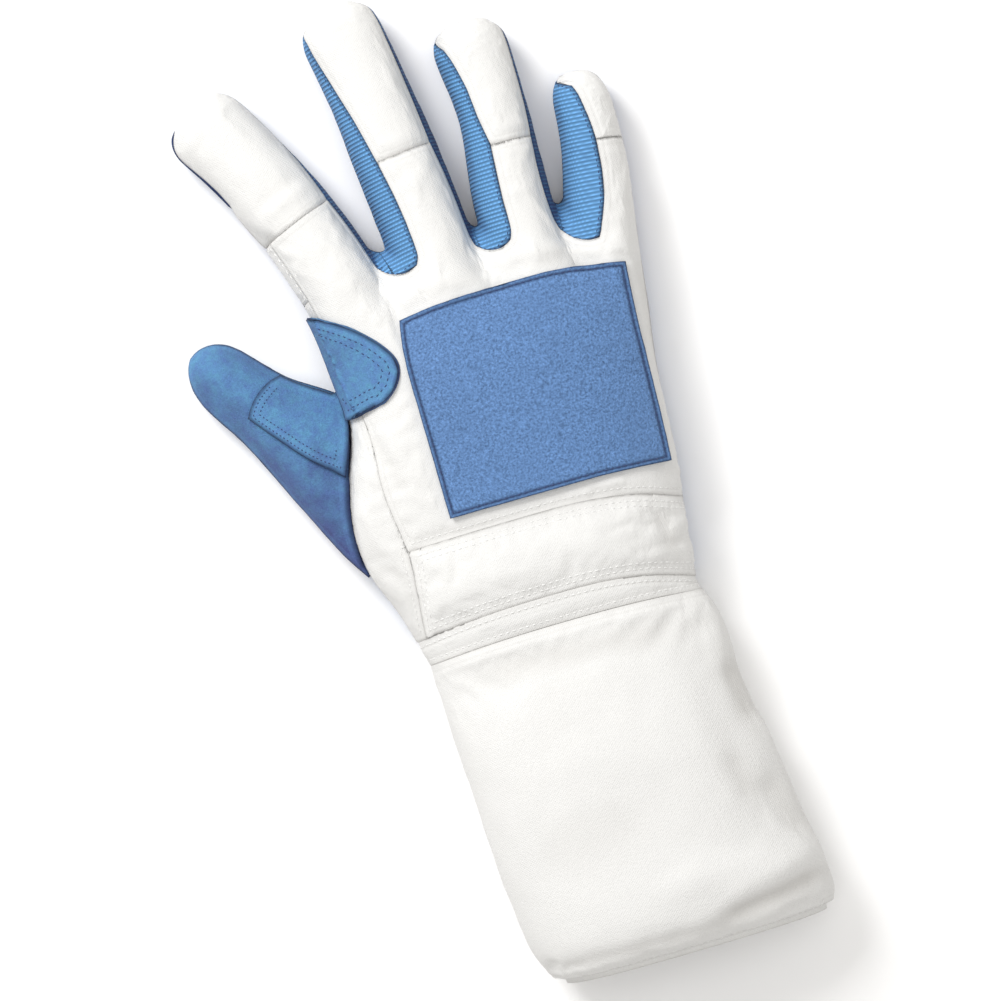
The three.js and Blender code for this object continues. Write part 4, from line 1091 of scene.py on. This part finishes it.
def lay_on(cloth, nodes, pieces, sink, clear=PATCH_CLEAR, flat=False):
    """Moves a patch from the solids below it onto the shaped pieces that stand for them. A flat
    patch keeps its own curve and is only lifted until it is clear of them."""
    shaped = joined_tree(pieces)
    if flat:
        flatten(cloth)
        cloth.ups = np.tile((0.0, 0.0, 1.0), (len(cloth.points), 1))
        heights = np.full(len(cloth.points), -0.5 * sink)
    else:
        heights = carried(cloth, nodes, shaped, sink)
    cloth.points = cloth.points + cloth.ups * heights[:, None]
    room = np.array([room_above(shaped, Vector(p), flat) for p in cloth.points])
    need = np.maximum(clear + PATCH_RISE * cloth.outer - room, 0)
    lift = need
    for _ in range(40 if flat else 6):
        lift = np.maximum(need, cloth.evened(lift))
    cloth.points = cloth.points + cloth.ups * lift[:, None]
    cloth.write()
    cloth.read(measured=True)
    cloth.out = cloth.normals


def settle(cloth, material, slot):
    """Writes a shaped piece back, gives it its material and puts it in place of its solid."""
    # Painted light and shade for the suede and the mesh, from the way each surface faces the light
    if slot in ("blue_suede", "blue_mesh"):
        cloth.attribute("painted_light", painted_light_of(cloth))
    # The painted shade of the white cloth's sunken folds
    if hasattr(cloth, "hollow"):
        cloth.attribute("hollow", cloth.hollow)
    cloth.write()
    shown = cloth.object
    shown.data.materials.append(material)
    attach(shown, "root")
    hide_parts(cloth.node)
    dressed[cloth.node] = shown


# Stitches

def crossings(triangles, side):
    """The mesh edges that a level line crosses, each with the crossed edges beside it."""
    joints = {}
    for triangle in triangles:
        cut = []
        for a, b in ((0, 1), (1, 2), (2, 0)):
            i, j = sorted((int(triangle[a]), int(triangle[b])))
            if side[i] != side[j]:
                cut.append((i, j))
        if len(cut) == 2:
            joints.setdefault(cut[0], []).append(cut[1])
            joints.setdefault(cut[1], []).append(cut[0])
    return joints


def followed(joints):
    """The crossed edges in order, as one list for each level line. A closed line ends where it
    starts."""
    lines = []
    left = set(joints)
    ends = [e for e in joints if len(joints[e]) == 1]
    while left:
        start = next((e for e in ends if e in left), None) or min(left)
        line = [start]
        left.discard(start)
        while True:
            following = next((e for e in joints[line[-1]] if e in left), None)
            if following is None:
                break
            line.append(following)
            left.discard(following)
        if len(line) > 2 and line[0] in joints[line[-1]]:
            line.append(line[0])
        lines.append(line)
    return lines


def kept_runs(line, keep):
    """The stretches of a line of (point, normal) whose points, in millimetres, are to be kept."""
    kept = []
    run = []
    for point, normal in line:
        if keep(point / MM):
            run.append((point, normal))
        elif run:
            kept.append(run)
            run = []
    if run:
        kept.append(run)
    return kept


def contour(cloth, level, keep):
    """Lines on a shaped piece at a set distance from its seams, as lists of (point, normal)."""
    mesh = cloth.object.data
    mesh.calc_loop_triangles()
    triangles = np.empty(len(mesh.loop_triangles) * 3, np.int32)
    mesh.loop_triangles.foreach_get("vertices", triangles)
    triangles = triangles.reshape(-1, 3)
    value = cloth.distance - level
    side = value > 0
    crossed = side[triangles].any(1) & ~side[triangles].all(1)
    facing = (cloth.outer > OUTSIDE)[triangles].all(1)

    def place(edge):
        i, j = edge
        share = value[i] / (value[i] - value[j])
        point = cloth.points[i] * (1 - share) + cloth.points[j] * share
        normal = cloth.normals[i] * (1 - share) + cloth.normals[j] * share
        return Vector(point), Vector(normal).normalized()

    runs = []
    for line in followed(crossings(triangles[crossed & facing], side)):
        runs += kept_runs([place(edge) for edge in line], keep)
    return [run for run in runs if len(run) >= SHORTEST_ROW]


# A stitch is a six-sided tube whose ends dive into the cloth. Each ring has its place along the
# stitch as a share of its length, its thickness and its rise as shares of the thread's radius.
STITCH_SIDES = 6
STITCH_RINGS = [
    (-0.5, 0.0, -1.3),
    (-0.36, 0.8, -0.1),
    (0.0, 1.0, 0.42),
    (0.36, 0.8, -0.1),
    (0.5, 0.0, -1.3),
]
THINNEST_RING = 0.35


class Stitching:
    """Collects stitches of one thread into one mesh."""

    def __init__(self, name):
        self.name = name
        self.points = []
        self.faces = []

    def stitch(self, place, ahead, up, length, radius):
        side = ahead.cross(up).normalized()
        start = len(self.points)
        for share, thick, rise in STITCH_RINGS:
            centre = place + ahead * share * length + up * rise * radius
            for k in range(STITCH_SIDES):
                angle = math.tau * k / STITCH_SIDES
                around = side * math.cos(angle) + up * math.sin(angle)
                self.points.append(centre + around * radius * max(thick, THINNEST_RING))
        for ring in range(len(STITCH_RINGS) - 1):
            for k in range(STITCH_SIDES):
                a = start + ring * STITCH_SIDES + k
                b = start + ring * STITCH_SIDES + (k + 1) % STITCH_SIDES
                self.faces.append((a, b, b + STITCH_SIDES, a + STITCH_SIDES))
        last = start + (len(STITCH_RINGS) - 1) * STITCH_SIDES
        self.faces.append(tuple(start + k for k in reversed(range(STITCH_SIDES))))
        self.faces.append(tuple(last + k for k in range(STITCH_SIDES)))

    def rows(self, lines, pitch=None, length=None, radius=None):
        pitch = pitch or sizes().stitch_pitch
        length = length or sizes().stitch_length
        radius = radius or sizes().thread_radius
        for line in lines:
            travelled = 0.0
            due = pitch / 2
            for (a, up_a), (b, up_b) in zip(line, line[1:]):
                step = (b - a).length
                if step < 1e-9:
                    continue
                while due <= travelled + step:
                    share = (due - travelled) / step
                    up = up_a.lerp(up_b, share).normalized()
                    ahead = b - a
                    ahead = (ahead - up * ahead.dot(up)).normalized()
                    self.stitch(a.lerp(b, share), ahead, up, length, radius)
                    due += pitch
                travelled += step

    def make(self, material, slot):
        mesh = bpy.data.meshes.new(self.name)
        mesh.from_pydata([tuple(p) for p in self.points], [], self.faces)
        bm = bmesh.new()
        bm.from_mesh(mesh)
        bmesh.ops.recalc_face_normals(bm, faces=bm.faces)
        bm.to_mesh(mesh)
        bm.free()
        mesh.shade_smooth()
        mesh.materials.append(material)
        shown = bpy.data.objects.new(self.name, mesh)
        bpy.context.scene.collection.objects.link(shown)
        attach(shown, "root")


white_thread = Stitching("white_stitches")
navy_thread = Stitching("navy_stitches")

# The shaped piece that stands for each node
dressed = {}


def everywhere(point):
    return True


# The operators, one for each piece or group of like pieces

def beside_wrist_or_finger(point):
    """Whether a stitch of the back lies at the wrist seam or on the index finger's outer side."""
    return point.y < -34 or point.x < -55 and point.y < 60


class GLOVE_OT_back(bpy.types.Operator):
    """Make the padded back, the thumb-side panel and the index finger's side strip"""

    bl_idname = "glove.back"
    bl_label = "Back of the Hand"

    def execute(self, context):
        inset = sizes().seam_inset
        for seed, node in enumerate(WHITE_PADDED):
            wide = node == "back_panel"
            cloth = Cloth(node, 3, swell={"growth": 0.014} if node != "index_side_strip" else None)
            shape_padding(cloth, puff=0.8 if wide else 0.5, seed=seed + 1)
            if node == "thumb_side_panel":
                nudge(cloth, *THUMB_OPENING, 2.2, (-0.6, -0.12))
            settle(cloth, white_cloth(), "white_cloth")
            if node == "index_side_strip":
                white_thread.rows(contour(cloth, STRIP_ROW, everywhere))
            elif wide:
                white_thread.rows(contour(cloth, inset, beside_wrist_or_finger))
            else:
                white_thread.rows(contour(cloth, inset, lambda p: p.z > 22 and p.y < 0))
        return {"FINISHED"}


class GLOVE_OT_tips(bpy.types.Operator):
    """Make the padded panels over the finger ends"""

    bl_idname = "glove.tips"
    bl_label = "Finger Ends"

    def execute(self, context):
        for seed, node in enumerate(TIPS):
            cloth = Cloth(node, 3, swell={"growth": 0.012, "cap": 0.0008})
            shape_padding(cloth, puff=0.7, rolling=0.8, seed=seed + 11)
            if node == "index_tip_panel":
                nudge(cloth, *INDEX_EDGE, 2.4, (0.4, 0.17))
                nudge(cloth, *INDEX_END, 2.4, (-0.6, -0.35))
                lower_edge(cloth)
            settle(cloth, white_cloth(), "white_cloth")
        return {"FINISHED"}


def ribs_along(cloth):
    """Distances along and across the nearer finger, for the ribs of the mesh."""
    flat = cloth.points[:, :2] / MM
    along, best = np.zeros(len(flat)), np.full(len(flat), 1e9)
    for line in FINGER_LINES:
        angle = math.radians(line["heading"])
        ahead = np.array([-math.sin(angle), math.cos(angle)])
        aside = np.array([math.cos(angle), math.sin(angle)])
        place = flat - np.array(line["root"])
        s = place @ ahead
        off = np.abs(place @ aside)
        off = off + np.maximum(-s - 10, 0)
        nearer = off < best
        along = np.where(nearer, s, along)
        best = np.where(nearer, off, best)
    return along * MM, cloth.points[:, 2].copy()


class GLOVE_OT_gussets(bpy.types.Operator):
    """Make the ribbed mesh gussets between the fingers"""

    bl_idname = "glove.gussets"
    bl_label = "Mesh Gussets"

    def execute(self, context):
        for seed, node in enumerate(GUSSETS):
            cloth = Cloth(node, 3)
            along, across = ribs_along(cloth)
            shape_thin(cloth, pucker=0.8, seed=seed + 21)
            settle(cloth, blue_mesh(), "blue_mesh")
            cloth.attribute("along", along)
            cloth.attribute("across", across)
            lines = contour(cloth, GUSSET_ROW, lambda p: p.z > 14)
            navy_thread.rows(lines, length=0.0012, pitch=0.002, radius=0.00017)
        return {"FINISHED"}


class GLOVE_OT_palm(bpy.types.Operator):
    """Make the suede palm with its finger fronts"""

    bl_idname = "glove.palm"
    bl_label = "Palm"

    def execute(self, context):
        cloth = Cloth("palm_panel", 2)
        shape_thin(cloth, seed=31)
        nudge(cloth, *INDEX_EDGE, 3, (-0.5, -0.2))
        nudge(cloth, *INDEX_END, 2.6, (0.85, 0.5))
        settle(cloth, blue_suede(), "blue_suede")
        return {"FINISHED"}


def on_reinforcement(point):
    """Whether a stitch belongs on the reinforcement: not at its upper edge or the thumb's opening."""
    above_edge = (point.to_2d() - REINFORCEMENT_EDGE).dot(REINFORCEMENT_OUT)
    return above_edge < -REINFORCEMENT_INSIDE and point.x < REINFORCEMENT_END


class GLOVE_OT_thumb(bpy.types.Operator):
    """Make the suede thumb and its second layer"""

    bl_idname = "glove.thumb"
    bl_label = "Thumb"

    def execute(self, context):
        for seed, node in enumerate(("thumb_back", "thumb_front")):
            cloth = Cloth(node, 3)
            shape_thin(cloth, pucker=1.2, seed=seed + 41)
            if node == "thumb_back":
                nudge(cloth, *THUMB_OPENING, 2.2, (0.55, 0.1))
            settle(cloth, blue_suede(), "blue_suede")
        cloth = Cloth("thumb_reinforcement", 3)
        shape_thin(cloth, pucker=0.6, seed=44, seamed=False)
        lay_on(cloth, ["thumb_back"], [dressed["thumb_back"]], 0.0)
        nudge(cloth, *THUMB_OPENING, 2.2, (0.55, 0.1))
        settle(cloth, blue_suede(), "blue_suede")
        for inset in REINFORCEMENT_ROWS:
            lines = contour(cloth, inset, on_reinforcement)
            navy_thread.rows(lines, length=0.0008, pitch=0.00145, radius=0.0002)
        return {"FINISHED"}


class GLOVE_OT_patches(bpy.types.Operator):
    """Make the suede crotch patch and the felt back patch"""

    bl_idname = "glove.patches"
    bl_label = "Patches"

    def execute(self, context):
        carriers = [dressed[n] for n in WHITE_PADDED]
        cloth = Cloth("crotch_patch", 3)
        lay_on(cloth, WHITE_PADDED, carriers, PATCH_SINK)
        shape_thin(cloth, pucker=0.9, seed=51, seamed=False)
        settle(cloth, blue_suede(), "blue_suede")
        for inset in CROTCH_ROWS:
            lines = contour(cloth, inset, lambda p: p.z > 21)
            navy_thread.rows(lines, length=0.0013, pitch=0.0022)
        cloth = Cloth("back_patch", 3)
        lay_on(cloth, WHITE_PADDED, carriers, PATCH_SINK, clear=FELT_CLEAR, flat=True)
        row = np.exp(-(((cloth.distance - FELT_ROW) / FELT_ROW_WIDTH) ** 2))
        cloth.push(0.00012 * waves(cloth.points, 0.004, 55) - FELT_ROW_DEPTH * row)
        settle(cloth, blue_felt(), "blue_felt")
        navy_thread.rows(contour(cloth, FELT_ROW, everywhere), length=0.0017, radius=0.00022)
        return {"FINISHED"}


class GLOVE_OT_wrist(bpy.types.Operator):
    """Make the padded wrist band and the binding below it"""

    bl_idname = "glove.wrist"
    bl_label = "Wrist Band"

    def execute(self, context):
        cloth = Cloth("wrist_band", 3, swell={"growth": 0.02, "cap": 0.0011})
        shape_padding(cloth, puff=1.2, pucker=1.3, rolling=1.0, seed=61)
        settle(cloth, white_cloth(), "white_cloth")
        for inset in BAND_ROWS:
            white_thread.rows(contour(cloth, inset, lambda p: p.z > 13))
        cloth = Cloth("wrist_binding", 3)
        shape_padding(cloth, puff=0.3, pucker=0.8, rolling=0.4, seed=62)
        settle(cloth, white_cloth(), "white_cloth")
        white_thread.rows(contour(cloth, BINDING_ROW, everywhere))
        return {"FINISHED"}


class GLOVE_OT_cuff(bpy.types.Operator):
    """Make the padded gauntlet cuff and the hem tape in its mouth"""

    bl_idname = "glove.cuff"
    bl_label = "Gauntlet Cuff"

    def execute(self, context):
        cloth = Cloth("cuff", 3, swell={"growth": 0.012, "cap": 0.0012})
        shape_padding(cloth, puff=0.8, pucker=1.2, rolling=1.5, seed=71)
        settle(cloth, white_cloth(), "white_cloth")
        white_thread.rows(contour(cloth, HEM_ROW, lambda p: p.y < -150 and p.x < 56))
        cloth = Cloth("cuff_hem", 2)
        shape_thin(cloth, seed=72)
        settle(cloth, white_cloth(), "white_cloth")
        return {"FINISHED"}


class GLOVE_OT_stitches(bpy.types.Operator):
    """Make the collected stitch rows"""

    bl_idname = "glove.stitches"
    bl_label = "Stitches"

    def execute(self, context):
        white_thread.make(thread_material("White Thread", WHITE_THREAD), "white_cloth")
        navy_thread.make(thread_material("Navy Thread", tuple(colours().thread)), "blue_suede")
        return {"FINISHED"}


class GLOVE_OT_stage(bpy.types.Operator):
    """Set the floor, the lights and the camera"""

    bl_idname = "glove.stage"
    bl_label = "Stage"

    def execute(self, context):
        bpy.ops.object.select_all(action="DESELECT")
        bpy.ops.mesh.primitive_plane_add(size=6, location=(0, 0, 0))
        floor = context.active_object
        floor.name = "floor"
        floor.location = (0, 0, 0)
        material, tree, shader, place = new_material("Pale Floor", 0.9, 0.0)
        patches = mottled(tree, place)["Patches"]
        colour = mix_colour(tree, patches, (0.95, 0.95, 0.95, 1), (0.96, 0.96, 0.96, 1))
        tree.links.new(colour, shader.inputs["Base Color"])
        floor.data.materials.append(material)
        for lamp in LIGHTS:
            data = bpy.data.lights.new(lamp["name"], "AREA")
            data.size = lamp["size"]
            data.energy = lamp["power"]
            light = bpy.data.objects.new(lamp["name"], data)
            light.location = lamp["place"]
            aim = Vector(LIGHT_AIM) - Vector(lamp["place"])
            light.rotation_euler = aim.to_track_quat("-Z", "Y").to_euler()
            context.scene.collection.objects.link(light)
        world = bpy.data.worlds.new("Studio")
        world.use_nodes = True
        background = world.node_tree.nodes["Background"]
        background.inputs["Color"].default_value = (1, 0.975, 0.94, 1)
        background.inputs["Strength"].default_value = 0.55
        context.scene.world = world
        context.scene.view_settings.view_transform = "Standard"
        camera_data = bpy.data.cameras.new("camera")
        camera_data.sensor_width = CAMERA_SENSOR
        camera_data.lens = CAMERA_SENSOR * CAMERA_REACH / CAMERA_WIDTH
        camera_data.clip_end = 20
        camera = bpy.data.objects.new("camera", camera_data)
        camera.location = CAMERA_PLACE
        camera.rotation_euler = (0, 0, math.radians(CAMERA_TURN))
        context.scene.collection.objects.link(camera)
        context.scene.camera = camera
        return {"FINISHED"}


OPERATORS = (
    GLOVE_OT_back,
    GLOVE_OT_tips,
    GLOVE_OT_gussets,
    GLOVE_OT_palm,
    GLOVE_OT_thumb,
    GLOVE_OT_patches,
    GLOVE_OT_wrist,
    GLOVE_OT_cuff,
    GLOVE_OT_stitches,
    GLOVE_OT_stage,
)


class GLOVE_PT_panel(bpy.types.Panel):
    """The glove's pieces, sizes and colours"""

    bl_idname = "GLOVE_PT_panel"
    bl_label = "Fencing Glove"
    bl_space_type = "VIEW_3D"
    bl_region_type = "UI"
    bl_category = "Glove"

    def draw(self, context):
        for group in (context.scene.glove_sizes, context.scene.glove_colours):
            for name in group.__annotations__:
                self.layout.prop(group, name)
        for operator in OPERATORS:
            self.layout.operator(operator.bl_idname)


CLASSES = (GloveSizes, GloveColours, *OPERATORS, GLOVE_PT_panel)


def register():
    for item in CLASSES:
        bpy.utils.register_class(item)
    bpy.types.Scene.glove_sizes = bpy.props.PointerProperty(type=GloveSizes)
    bpy.types.Scene.glove_colours = bpy.props.PointerProperty(type=GloveColours)


def unregister():
    del bpy.types.Scene.glove_sizes
    del bpy.types.Scene.glove_colours
    for item in reversed(CLASSES):
        bpy.utils.unregister_class(item)


def main():
    register()
    for operator in OPERATORS:
        group, name = operator.bl_idname.split(".")
        getattr(getattr(bpy.ops, group), name)()


if __name__ == "__main__":
    main()
